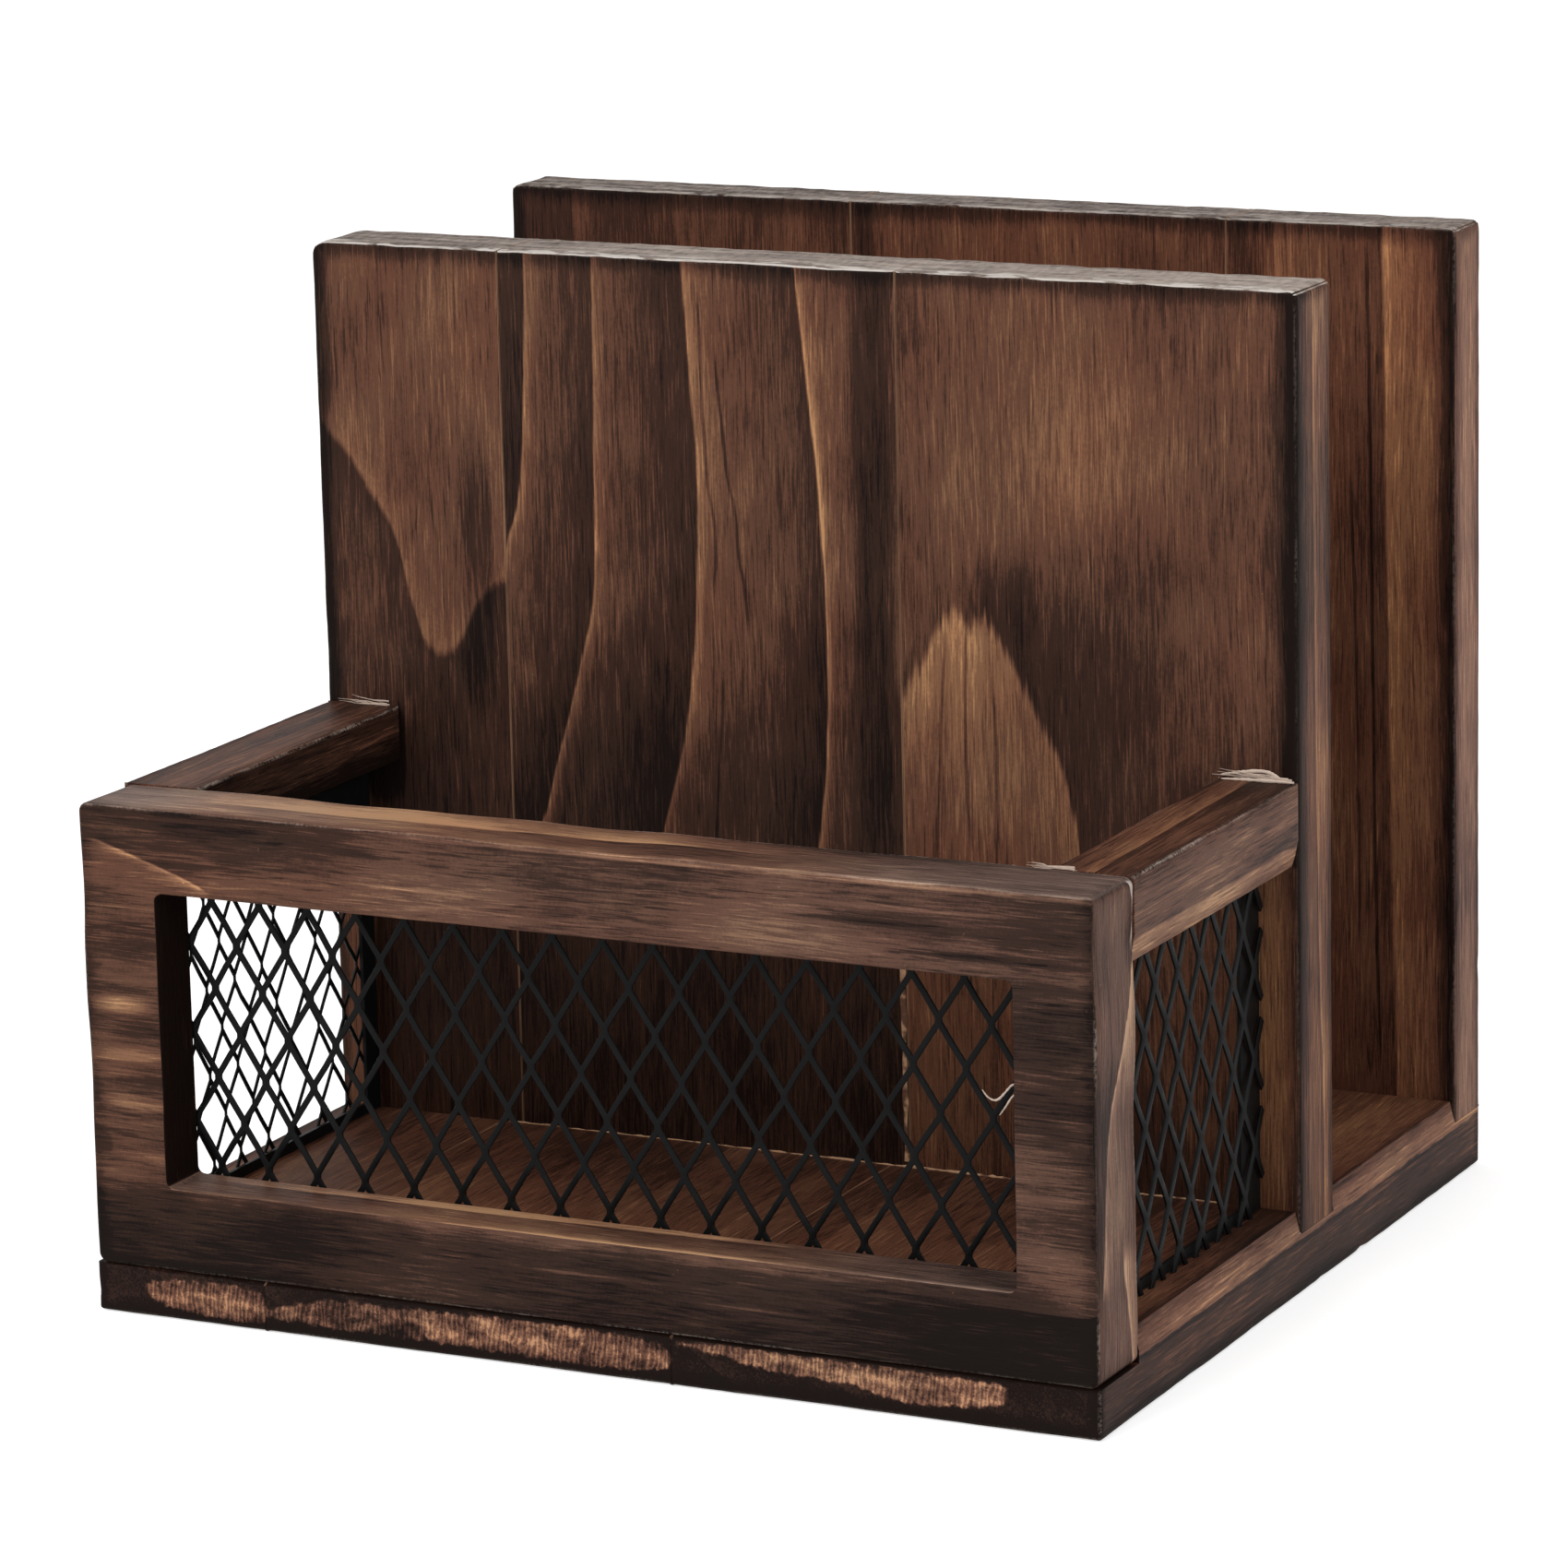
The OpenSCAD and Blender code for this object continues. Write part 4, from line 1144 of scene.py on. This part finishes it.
class NAPKIN_OT_front_frame(bpy.types.Operator):
    """The front frame, one board with a window and a rebate behind it"""

    bl_idname = "napkin.front_frame"
    bl_label = "Front frame"

    def execute(self, context):
        arris = board_sizes()[0]
        low, high = mm_box("front_frame")
        front, back, lip = low[1], high[1], mm_box("front_mesh")[0][1]
        window_low = np.array([low[0] + STILE, window_bottom()])
        window_high = np.array([high[0] - STILE, high[2] - UPPER_BAR])
        half, middle = (window_high - window_low) / 2, (window_high + window_low) / 2

        def outer(offset):
            flat_low, flat_high = low[[0, 2]], high[[0, 2]]
            return rounded_rectangle((flat_high - flat_low) / 2, (flat_high + flat_low) / 2,
                                     OUTER_RADIUS, offset)

        def inner(offset):
            return rounded_rectangle(half, middle, WINDOW_RADIUS, offset)

        rebate = rounded_rectangle(half + REBATE, middle, REBATE_RADIUS, 0)

        loops = [(outer(0), y) for y in np.linspace(back - CRISP, front + arris, 6)]
        for a in [math.radians(90 * k / 5) for k in range(1, 6)]:
            loops.append((outer(arris * (1 - math.cos(a))), front + arris * (1 - math.sin(a))))
        start, stop = outer(arris), inner(-WINDOW_EASED)
        loops += [(start + (stop - start) * share, front) for share in FACE_SHARES]
        for a in [math.radians(90 * k / 3) for k in range(1, 4)]:
            loops.append((inner(-WINDOW_EASED * (1 - math.sin(a))),
                          front + WINDOW_EASED * (1 - math.cos(a))))
        loops += [(inner(0), y) for y in np.linspace(front + 1.5, lip - CRISP, 5)]
        loops += [(inner(-CRISP), lip), (inner(-REBATE_STEP), lip), (rebate, lip)]
        loops += [(rebate, y) for y in np.linspace(lip + 1.5, back, 3)]
        stop = outer(CRISP)
        loops += [(rebate + (stop - rebate) * s, back) for s in (0.25, 0.5, 0.75, 1.0)]
        count = len(rebate)
        points = np.concatenate([
            np.stack([ring[:, 0], np.full(count, y), ring[:, 1]], 1) for ring, y in loops
        ])
        away = np.minimum(np.abs(points[:, 0] - low[0]), np.abs(points[:, 0] - high[0]))
        wavy = EDGE_WORN * (1 + wave(points * (0.1, 0.1, 1), 24, 5)) * near_to(away, EDGE_REACH)
        points[:, 0] -= np.sign(points[:, 0]) * np.clip(wavy, 0, EDGE_MOST)
        worn = near_to(np.abs(points[:, 1] - front), FRONT_REACH)
        points[:, 1] += worn * FRONT_WORN * np.clip(1 + wave(points, 18, 6), 0, None)
        worn = near_to(high[2] - points[:, 2], TOP_REACH)
        points[:, 2] -= worn * TOP_WORN * np.clip(1 + wave(points, 22, 8), 0, None)
        material = torched_pine("front_frame_pine", "x", low, high, 0.40, marks=FRAME_MARKS,
                                seed=5.3, burn=0.10, red=0.1, wear_and_highlight=0.45, mottle=0.5, fibre=0.42)
        faces = sleeve(0, len(loops), count, flip=True, closed=True)
        face_outward(new_piece("front_frame_board", points, faces, material, ["front_frame"]))
        return {"FINISHED"}


RAIL_BEVEL, RAIL_BEVEL_HEIGHT = 1.2, 3.9
SHEET_PLAY = 0.4
RAIL_END_LINES = (0, 0.1, 0.6)


class NAPKIN_OT_side_rails(bpy.types.Operator):
    """The two side rails, with the rebate that holds the side sheets"""

    bl_idname = "napkin.side_rails"
    bl_label = "Side rails"

    def execute(self, context):
        arris, _, step = board_sizes()
        for side, name in ((-1, "left"), (1, "right")):
            node = name + "_side_rail"
            a, b = mm_box(node)
            outer, inner = (b[0], a[0]) if side > 0 else (a[0], b[0])
            sheet_low, sheet_high = mm_box(name + "_mesh")
            lip_x = (sheet_high if side > 0 else sheet_low)[0]
            rebate_z = sheet_high[2] + SHEET_PLAY
            xs = grid_lines(a[0], b[0], step, ARRIS_LINES, [lip_x])
            ys = grid_lines(a[1], b[1], step * 0.7, RAIL_END_LINES)
            zs = grid_lines(a[2], b[2], step, ARRIS_LINES, [rebate_z])
            xm, zm = (xs[1:] + xs[:-1]) / 2, (zs[1:] + zs[:-1]) / 2
            inside = (xm < lip_x) if side > 0 else (xm > lip_x)
            points, quads = block_shell(xs, ys, zs, inside[:, None, None] & (zm < rebate_z))
            radii = np.array([arris, arris, 0.05, 0.05, 0.5, arris])
            points = soften(points, a, b, radii, 90 + side)
            bevel_high = a[2] + RAIL_BEVEL_HEIGHT
            bevel = np.clip((bevel_high - points[:, 2]) / RAIL_BEVEL_HEIGHT, 0, 1) * RAIL_BEVEL
            beside = near_to(np.abs(points[:, 0] - outer), abs(outer - lip_x))
            points[:, 0] -= side * bevel * beside
            glow, core = (0.16, 0.3) if side > 0 else (0.04, 0.1)
            marks = [
                mark("rings", gain=0.14, spacing=7.5, angle=35, decay=3.0, wander=16, flow=0.008),
                tones("z", "x", (a[2], 0.30), (a[2] + 3.4, 0.32), (a[2] + 4.4, 0.0),
                      (b[2] - 2, 0.06), (b[2], 0.14), ragged=1.0),
                # Painted shadow along the foot of the inner face, just above the rebate
                tones("z", "x", (rebate_z, -0.5), (rebate_z + 2.5, -0.16), (rebate_z + 5, 0.0),
                      ragged=1.0, where=("x", *sorted((inner - side, inner + 2 * side)))),
                tones("x", "x", *sorted([(inner, -0.26), (lip_x, -0.2), (outer, 0.02)])),
                grey("x", "x", *sorted([(inner, 0.0), (outer, 0.16)])),
                wisps(0.15, 0.14),
                line(glow, 3.5, core, 1.4, 0.16, 5, (-70, outer - side * 6.5),
                     (0, outer - side * 8.0), on="top", axes="yx", side=-side),
                tones("y", "top", (-70, -0.04), (-50, 0.08), (-20, 0.0), (-2, -0.16)),
            ]
            material = torched_pine(node + "_pine", "y", a - (0, 9, 0), b + (0, 9, 0), 0.44,
                                    marks=marks, seed=7.7 + side, burn=0.12, red=0.15, wear_and_highlight=0.75)
            new_piece(node + "_board", points, quads, material, [node])
        return {"FINISHED"}


# ---- Metal ----

# For each strand of a bond: the way to the next bond, and its two corners here and there
STRANDS = (
    ((1, 1), (1, 0), (3, 4)), ((1, -1), (3, 2), (5, 0)),
    ((-1, -1), (4, 3), (0, 1)), ((-1, 1), (0, 5), (2, 3)),
)
LONGEST_STUB = 0.85
SHORTEST_STUB = 0.6
FRONT_PLAY, SIDE_PLAY, TOP_PLAY = 1.5, 4.1, 1.9


def black_paint():
    """Half-gloss black paint, a little uneven"""
    black = bpy.context.scene.sheet_sizes.black
    t = Tree(bpy.data.materials.new("black_paint"))
    place = t.millimetres()
    cloud, grit = t.noise(place, 0.5, 3), t.noise(place, 3)
    colour = t.mix(cloud, tuple(0.6 * c for c in black), tuple(1.5 * c for c in black))
    roughness = t.fma(cloud, 0.2, 0.34)
    return t.finish(colour, roughness, t.fma(grit, 0.5, cloud), 0.06 * MM, level=0.08)


def zinc_plate():
    """Bright zinc with faint streaks"""
    zinc = bpy.context.scene.sheet_sizes.zinc
    t = Tree(bpy.data.materials.new("zinc_plate"))
    streak = t.noise(t.millimetres(), (2.5, 2.5, 0.4), 3)
    colour = t.mix(streak, tuple(0.7 * c for c in zinc), zinc)
    return t.finish(colour, t.fma(streak, 0.25, 0.25), streak, 0.02 * MM, metallic=1.0)


def half_pitch():
    """Half the width and half the height of a diamond, in millimetres"""
    s = bpy.context.scene.sheet_sizes
    return np.array([s.diamond_width, s.diamond_height]) / MM / 2


def lattice(first, cols, rows, shift, low, high, seed):
    """A flat sheet of expanded metal: points and faces in millimetres, its front towards +Z.
    Columns are half a diamond apart and rows half a diamond high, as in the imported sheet."""
    s = bpy.context.scene.sheet_sizes
    pitch = half_pitch()
    bw, bl, bs = s.bond_width / MM / 2, s.bond_length / MM / 2, s.bond_side / MM / 2
    half, lean = s.metal / MM / 2, s.lean / MM
    corner = [(0, bl), (1, bs), (1, -bs), (0, -bl), (-1, -bs), (-1, bs)]
    draw = random.Random(seed)
    points, faces, start = [], [], {}

    def shake(*strays):
        return np.array([draw.gauss(0, stray) for stray in strays])

    def middle(p):
        return np.array([first[0] + p[0] * pitch[0], first[1] + p[1] * pitch[1]])

    def corner_at(p, k, face):
        (x, y), at = corner[k], middle(p)
        return np.array([at[0] + x * bw, at[1] + y, -x * lean + face * half])

    for m in range(cols):
        for r in range(rows):
            if (m + r + shift) % 2:
                continue
            start[m, r] = b = len(points)
            moved = shake(0.04, 0.06, 0.03)
            points += [corner_at((m, r), k, f) + moved for f in (1, -1) for k in range(6)]
            faces += [[b + k for k in range(6)], [b + 11 - k for k in range(6)],
                      [b + 2, b + 1, b + 7, b + 8], [b + 5, b + 4, b + 10, b + 11]]
    for p, b in start.items():
        for step, here, there in STRANDS:
            q = (p[0] + step[0], p[1] + step[1])
            f = [b + here[0], b + here[1], b + here[1] + 6, b + here[0] + 6]
            if q in start:
                if step[0] < 0:
                    continue
                n = start[q]
                t = [n + there[0], n + there[1], n + there[1] + 6, n + there[0] + 6]
                moved = shake(0.05, 0.03, 0.05)
                rings = [f, list(range(len(points), len(points) + 4)), t]
                points += [(points[i] + points[j]) / 2 + moved for i, j in zip(f, t)]
            else:
                ends = []
                for e, face in ((0, 1), (1, 1), (1, -1), (0, -1)):
                    a, z = corner_at(p, here[e], face), corner_at(q, there[e], face)
                    run = z - a
                    shares = [
                        ((high[i] - a[i]) if run[i] > 0 else (a[i] - low[i])) / abs(run[i])
                        for i in (0, 1)
                    ]
                    ends.append(a + run * min(LONGEST_STUB, *shares))
                if np.linalg.norm(ends[0] - points[f[0]]) < SHORTEST_STUB:
                    faces.append(f)
                    continue
                rings = [f, list(range(len(points), len(points) + 4))]
                points += ends
                faces.append(rings[-1])
            for u, v in zip(rings, rings[1:]):
                faces += [[u[i], u[(i + 1) % 4], v[(i + 1) % 4], v[i]] for i in range(4)]
    return np.array(points), faces


def metal_sheet(name, points, faces, material):
    """Rounds the strands of the sheet that takes the place of a packed one"""
    piece = new_piece(name + "_sheet", points, faces, material, [name + "_mesh"],
                      sharp=60)
    face_outward(piece, bevel=bpy.context.scene.sheet_sizes.easing)
    piece.data.shade_smooth()
    piece.data.set_sharp_from_angle(angle=math.radians(50))


class NAPKIN_OT_windows(bpy.types.Operator):
    """The three sheets of black expanded metal"""

    bl_idname = "napkin.windows"
    bl_label = "Expanded metal"

    def execute(self, context):
        pitch = half_pitch()
        bond = context.scene.sheet_sizes.bond_width / MM / 2
        material = black_paint()
        low, high = mm_box("front_mesh")
        reach = int((high[0] - bond) / pitch[0])
        first = (-reach * pitch[0], window_bottom() + FRONT_PLAY)
        rows = 1 + int((high[2] - first[1] - TOP_PLAY) / pitch[1])
        flat, faces = lattice(first, 2 * reach + 1, rows, reach % 2, low[[0, 2]], high[[0, 2]], 4)
        points = np.stack([flat[:, 0], (low[1] + high[1]) / 2 - flat[:, 2], flat[:, 1]], 1)
        points[:, 1] += np.clip(0.12 * wave(points * (1, 0, 1), 70, 12), -0.2, 0.2)
        metal_sheet("front", points, faces, material)

        divider_y = mm_box("divider_stave_left")[0][1]
        for side, name in ((-1, "left"), (1, "right")):
            low, high = mm_box(name + "_mesh")
            depth = divider_y - low[1]
            first = (pitch[0], low[2] + SIDE_PLAY)
            rows = 1 + int((high[2] - first[1] - TOP_PLAY) / pitch[1])
            flat, faces = lattice(first, int((depth - bond) / pitch[0]), rows, 1,
                                  (divider_y - high[1], low[2]), (depth, high[2]), 6 + side)
            points = np.stack([(low[0] + high[0]) / 2 + side * flat[:, 2],
                               divider_y - flat[:, 0], flat[:, 1]], 1)
            metal_sheet(name, points, faces, material)
        paint_nodes(("left_mesh_edge", "right_mesh_edge"), material)
        return {"FINISHED"}


SCREW_SIDES, HEAD_RINGS = 56, 14
HEAD_RIM = ((0.97, 0.02), (1.0, 0.12), (0.97, 0.3))
HEAD_EDGE = 0.3
POINT_LENGTH, POINT_SHARES = 2.2, (0.9, 0.6, 0.3, 0.1)
SHANK_TOP, SHANK_END, SHANK_SHARE = 1.2, 2.4, 0.84
THREAD_TOP, THREAD_END = 1, 2.3
# Height of the thread and depth of the recess, as shares of the core and of the head's radius
RIDGE, RECESS = 0.14, 0.42
TWIST = 1.1


def recess(u, v, share):
    """How deep the cross recess of a head is, from 0 to 1, at a share of its radius. u and v
    are shares too."""
    arm = np.clip(1.35 - min(abs(u), abs(v)) / 0.15, 0, 1)
    return np.clip(1 - (share - 0.35) / 0.25, 0, 1) * max(arm, np.clip(2 - 7 * share, 0, 1))


def screw_mesh(node, core, pitch):
    """Countersunk screws with a cross recess and a thread, as points in millimetres and faces"""
    low, high = mm_box(node)
    places, radius = screw_places(node)
    length, base = high[2] - low[2], low[2]
    points, faces = [], []
    for number, (x, y) in enumerate(places):
        c, s = math.cos(number * TWIST), math.sin(number * TWIST)
        rings = [(r, 0.0) for r in np.linspace(0.06, 0.9, HEAD_RINGS) * radius]
        rings += [(radius * share, h) for share, h in HEAD_RIM]
        rings += [(radius + (core - radius) * share, HEAD_EDGE + (radius - HEAD_EDGE) * share)
                  for share in (0.35, 0.7, 1.0)]
        shank = np.arange(radius + SHANK_TOP, length - SHANK_END, pitch / 4)
        rings += [(core * SHANK_SHARE, h) for h in shank]
        rings += [(core * share, length - POINT_LENGTH * share ** 1.5) for share in POINT_SHARES]
        faces += tube(len(points), len(rings), SCREW_SIDES)
        for step, (r, h) in enumerate(rings):
            for k in range(SCREW_SIDES):
                a = math.tau * k / SCREW_SIDES
                ridge, height = 0.0, h
                if radius + THREAD_TOP < h < length - THREAD_END:
                    turn = (h / pitch - k / SCREW_SIDES) % 1
                    ridge = RIDGE * core * max(0, 1 - 4 * abs(turn - 0.5))
                u, v = (r + ridge) * math.cos(a), (r + ridge) * math.sin(a)
                if step < HEAD_RINGS:
                    height = radius * RECESS * recess(u / radius, v / radius, r / radius)
                points.append((x + u * c - v * s, y + u * s + v * c, base + height))
    return points, faces


class NAPKIN_OT_fasteners(bpy.types.Operator):
    """Countersunk screws, and zinc on the brads and staples"""

    bl_idname = "napkin.fasteners"
    bl_label = "Fasteners"

    def execute(self, context):
        material = zinc_plate()
        for node, core, pitch in (("panel_screws", 1.75, 1.6), ("frame_screws", 1.5, 1.4)):
            points, faces = screw_mesh(node, core, pitch)
            new_piece(node + "_cut", points, faces, material, [node], sharp=32)
        paint_nodes(("rail_brads", "mesh_staples"), material)
        return {"FINISHED"}


# ---- Torn fibres and glue ----


def torn_fibre(name, oiled, pale):
    """Pale torn wood and dried glue, darker where the oil reached it"""
    finish = bpy.context.scene.wood_finish
    t = Tree(bpy.data.materials.new(name))
    cloud = t.noise(t.millimetres(), 0.45, 3)
    dry = t.mix(pale, finish.glue, finish.chip)
    colour = t.mix(t.ease(cloud, 0.7 - oiled, 0.9 - oiled), dry, finish.middle)
    return t.finish(colour, 0.6, cloud, 0.05 * MM, level=0.1)


def thread(points, faces, path, widths, flat=1.0, sides=6):
    """Adds a tapered fibre that follows a path, in millimetres"""
    path = np.array(path, float)
    faces += tube(len(points), len(path), sides, flip=True)
    for i, place in enumerate(path):
        ahead = path[min(i + 1, len(path) - 1)] - path[max(i - 1, 0)]
        ahead /= np.linalg.norm(ahead)
        across = np.cross(ahead, (0.1, 1, 0.2))
        across /= np.linalg.norm(across)
        up = np.cross(across, ahead)
        for k in range(sides):
            a = math.tau * k / sides
            points.append(place + widths[i] * (math.cos(a) * across + flat * math.sin(a) * up))


def wandering(a, b, steps, stray, draw):
    """A path from a to b that strays a little"""
    a, b = np.array(a, float), np.array(b, float)
    drift, path = np.zeros(3), []
    for i in range(steps + 1):
        share = i / steps
        drift = drift * 0.7 + np.array([draw.gauss(0, s) for s in stray])
        path.append(a + (b - a) * share + drift * math.sin(math.pi * share))
    return path


def rounded_path(path, rounds):
    """Cuts the corners of a path"""
    path = np.array(path, float)
    for _ in range(rounds):
        near, far = path[:-1] * 0.75 + path[1:] * 0.25, path[:-1] * 0.25 + path[1:] * 0.75
        path = np.concatenate([path[:1], np.stack([near, far], 1).reshape(-1, 3), path[-1:]])
    return path


# Beads of glue along the divider's foot: from where to where, and how thick
BEADS = (
    (-57, -30, 0.26), (-31, -12, 0.2), (-13, 17, 0.3), (16, 36, 0.42), (34, 58, 0.34),
    (57, 76, 0.24),
)
TUFT_STEPS = 8


class NAPKIN_OT_splinters(bpy.types.Operator):
    """Torn fibres at the joints and beads of dried glue along the foot of the divider"""

    bl_idname = "napkin.splinters"
    bl_label = "Splinters and glue"

    def execute(self, context):
        draw = random.Random(17)
        floor = mm_box("base_stave_left")[1][2]
        divider_y = mm_box("divider_stave_left")[0][1]
        seam = mm_box("divider_stave_centre")[1][0]
        rail_low, rail_high = mm_box("right_side_rail")
        left_low, left_high = mm_box("left_side_rail")
        frame_high = mm_box("front_frame")[1]
        points, faces = [], []
        for x0, x1, width in BEADS:
            ends = [(x, divider_y - 0.05, floor + 0.05) for x in (x0, x1)]
            path = wandering(*ends, 18, (0, 0.03, 0.03), draw)
            widths = [width * (0.2 + 0.9 * draw.random()) for _ in path]
            widths[0] = widths[-1] = 0.05
            thread(points, faces, path, widths, flat=0.8)
        new_piece("glue_beads", points, faces, torn_fibre("dried_glue", 0.22, 0.0),
                  sharp=60)
        points, faces = [], []
        path = wandering((seam - 0.6, divider_y, floor + 1),
                         (seam - 0.9, divider_y, rail_low[2] - 6), 30, (0.12, 0, 0), draw)
        thread(points, faces, path, [0.25 + 0.4 * draw.random() for _ in path], flat=0.3)
        new_piece("glue_seam", points, faces, torn_fibre("oiled_glue", 0.3, 0.0),
                  sharp=60)

        points, faces = [], []
        foot, jamb = divider_y - 0.5, mm_box("front_mesh")[0][1] - 0.6
        strands = [
            # Two torn lips where the right rail meets the divider
            (0.36, [(76.7, foot, 86.5), (80, foot, 87.2), (83.8, foot, 87.7), (85.7, foot, 87.4),
                    (87.4, foot, 86.4)]),
            (0.32, [(77.4, foot - 1.4, 86.2), (81, foot - 1.2, 86.3), (83, foot - 1.0, 86.3),
                    (87.6, foot - 0.6, 86.3), (89.3, foot - 0.4, 86.2)]),
            # Curls at the right side of the window
            (0.2, [(76.2, jamb, 53.6), (71.6, jamb, 52.7), (70.7, jamb, 51.6),
                   (68.9, jamb, 49.5), (67.3, jamb, 50.0), (66.4, jamb, 51.2)]),
            (0.15, [(76.2, jamb, 53.0), (71.8, jamb, 51.2), (70.4, jamb, 48.9),
                    (69.3, jamb, 47.4)]),
        ]
        for width, path in strands:
            path = rounded_path(path, 3)
            widths = [width * draw.uniform(0.75, 1.2) * math.sin(0.25 + 2.6 * i / len(path))
                      for i in range(len(path))]
            thread(points, faces, path, widths, flat=0.7)
        tufts = [
            # Finer fibres between those lips, on the left rail's foot and at the frame's corner
            ((88.6, foot - 0.3, 86.3), (-12, 0, 0.6), 12, 0.2),
            ((left_low[0] + 12, divider_y - 0.3, left_high[2] + 0.1), (-10, -0.2, 0.4), 6, 0.2),
            ((rail_low[0] + 4, frame_high[1] + 0.2, rail_high[2] - 0.1), (-11, 0.3, 0), 8, 0.24),
        ]
        for root, reach, count, width in tufts:
            for _ in range(count):
                a = np.array(root) + [draw.gauss(0, s) for s in (0.5, 0.05, 0.3)]
                b = a + np.array(reach) * draw.uniform(0.5, 1.0)
                b += [draw.gauss(0, s) for s in (0.6, 0.15, 0.4)]
                path = wandering(a, b, TUFT_STEPS, (0.12, 0.04, 0.12), draw)
                widths = [width * (1 - 0.85 * i / TUFT_STEPS) * draw.uniform(0.7, 1.2)
                          for i in range(len(path))]
                thread(points, faces, path, widths, flat=0.6, sides=5)
        new_piece("splinters", points, faces, torn_fibre("torn_fibre", 0.08, 0.5),
                  sharp=60)
        return {"FINISHED"}


# ---- Stage, in metres ----

FLOOR_HALF, FLOOR_HEIGHT = 6.0, -0.0002
LAMP_TARGET = Vector((0, 0, 0.07))
KEY_PLACE, KEY_SIZE = (-0.55, -1.35, 1.05), 1.2
SIDE_PLACE, SIDE_SIZE = (1.3, -0.35, 0.6), 0.9


class NAPKIN_OT_stage(bpy.types.Operator):
    """Pale floor, soft light and the camera"""

    bl_idname = "napkin.stage"
    bl_label = "Stage"

    def execute(self, context):
        scene = context.scene
        stage = scene.stage_settings
        scene.view_settings.view_transform = "Standard"

        data = bpy.data.meshes.new("floor")
        corners = [(x * FLOOR_HALF, y * FLOOR_HALF, FLOOR_HEIGHT)
                   for x, y in ((-1, -1), (1, -1), (1, 1), (-1, 1))]
        data.from_pydata(corners, [], [(0, 1, 2, 3)])
        floor = bpy.data.objects.new("floor", data)
        scene.collection.objects.link(floor)
        t = Tree(bpy.data.materials.new("pale_floor"))
        cloud = t.noise(t.node("TexCoord").outputs["Object"], 9)
        colour = t.mix(cloud, tuple(0.985 * c for c in stage.floor), stage.floor)
        diffuse = t.node("BsdfDiffuse", {"Color": colour})
        lit = t.node("Emission", {"Strength": t.mul(t.seen(), stage.glow)})
        both = t.node("AddShader", {0: diffuse.outputs[0], 1: lit.outputs[0]})
        t.node("OutputMaterial", {"Surface": both.outputs[0]})
        data.materials.append(t.owner)

        scene.world = bpy.data.worlds.new("studio")
        t = Tree(scene.world)
        strength = t.node("MapRange", {"Value": t.seen(), "To Min": stage.dome, "To Max": 1.0})
        sky = t.node("Background", {"Color": (1, 1, 1, 1), "Strength": strength.outputs[0]})
        t.node("OutputWorld", {"Surface": sky.outputs[0]})

        for name, at, power, width in (("key_lamp", KEY_PLACE, stage.key, KEY_SIZE),
                                       ("side_lamp", SIDE_PLACE, stage.fill, SIDE_SIZE)):
            lamp = bpy.data.lights.new(name, "AREA")
            lamp.energy, lamp.size = power, width
            holder = bpy.data.objects.new(name, lamp)
            holder.location = at
            aim = LAMP_TARGET - Vector(at)
            holder.rotation_euler = aim.to_track_quat("-Z", "Y").to_euler()
            scene.collection.objects.link(holder)

        camera = bpy.data.cameras.new("camera")
        camera.lens, camera.sensor_width = stage.lens, 36
        camera.dof.use_dof = False
        holder = bpy.data.objects.new("camera", camera)
        eye, target = Vector(stage.eye), Vector(stage.target)
        ahead = (target - eye).normalized()
        right = ahead.cross(Vector((0, 0, 1))).normalized()
        up = right.cross(ahead)
        c, s = math.cos(stage.roll), math.sin(stage.roll)
        turned_right, turned_up = c * right + s * up, c * up - s * right
        basis = Matrix((turned_right, turned_up, -ahead)).transposed().to_4x4()
        holder.matrix_world = Matrix.Translation(eye) @ basis
        scene.collection.objects.link(holder)
        scene.camera = holder
        return {"FINISHED"}


class NAPKIN_PT_panel(bpy.types.Panel):
    """Lists the pieces of the napkin holder"""

    bl_label = "Napkin holder"
    bl_idname = "NAPKIN_PT_panel"
    bl_space_type = "VIEW_3D"
    bl_region_type = "UI"
    bl_category = "Napkin holder"

    def draw(self, context):
        for maker in OPERATORS:
            self.layout.operator(maker.bl_idname)
        for group in GROUPS:
            settings = getattr(context.scene, group)
            box = self.layout.box()
            for key in settings.bl_rna.properties.keys():
                if key not in ("rna_type", "name"):
                    box.prop(settings, key)


OPERATORS = (
    NAPKIN_OT_stage, NAPKIN_OT_base, NAPKIN_OT_divider, NAPKIN_OT_back_panel,
    NAPKIN_OT_front_frame, NAPKIN_OT_side_rails, NAPKIN_OT_windows, NAPKIN_OT_fasteners,
    NAPKIN_OT_splinters,
)
GROUPS = {
    "wood_finish": WoodFinish, "board_sizes": BoardSizes,
    "sheet_sizes": SheetSizes, "stage_settings": StageSettings,
}


def register():
    for group in (*GROUPS.values(), *OPERATORS, NAPKIN_PT_panel):
        bpy.utils.register_class(group)
    for name, group in GROUPS.items():
        setattr(bpy.types.Scene, name, PointerProperty(type=group))


def unregister():
    for name in GROUPS:
        delattr(bpy.types.Scene, name)
    for group in reversed((*GROUPS.values(), *OPERATORS, NAPKIN_PT_panel)):
        bpy.utils.unregister_class(group)


def main():
    register()
    for maker in OPERATORS:
        family, name = maker.bl_idname.split(".")
        getattr(getattr(bpy.ops, family), name)()
    bpy.context.view_layer.update()


if __name__ == "__main__":
    main()
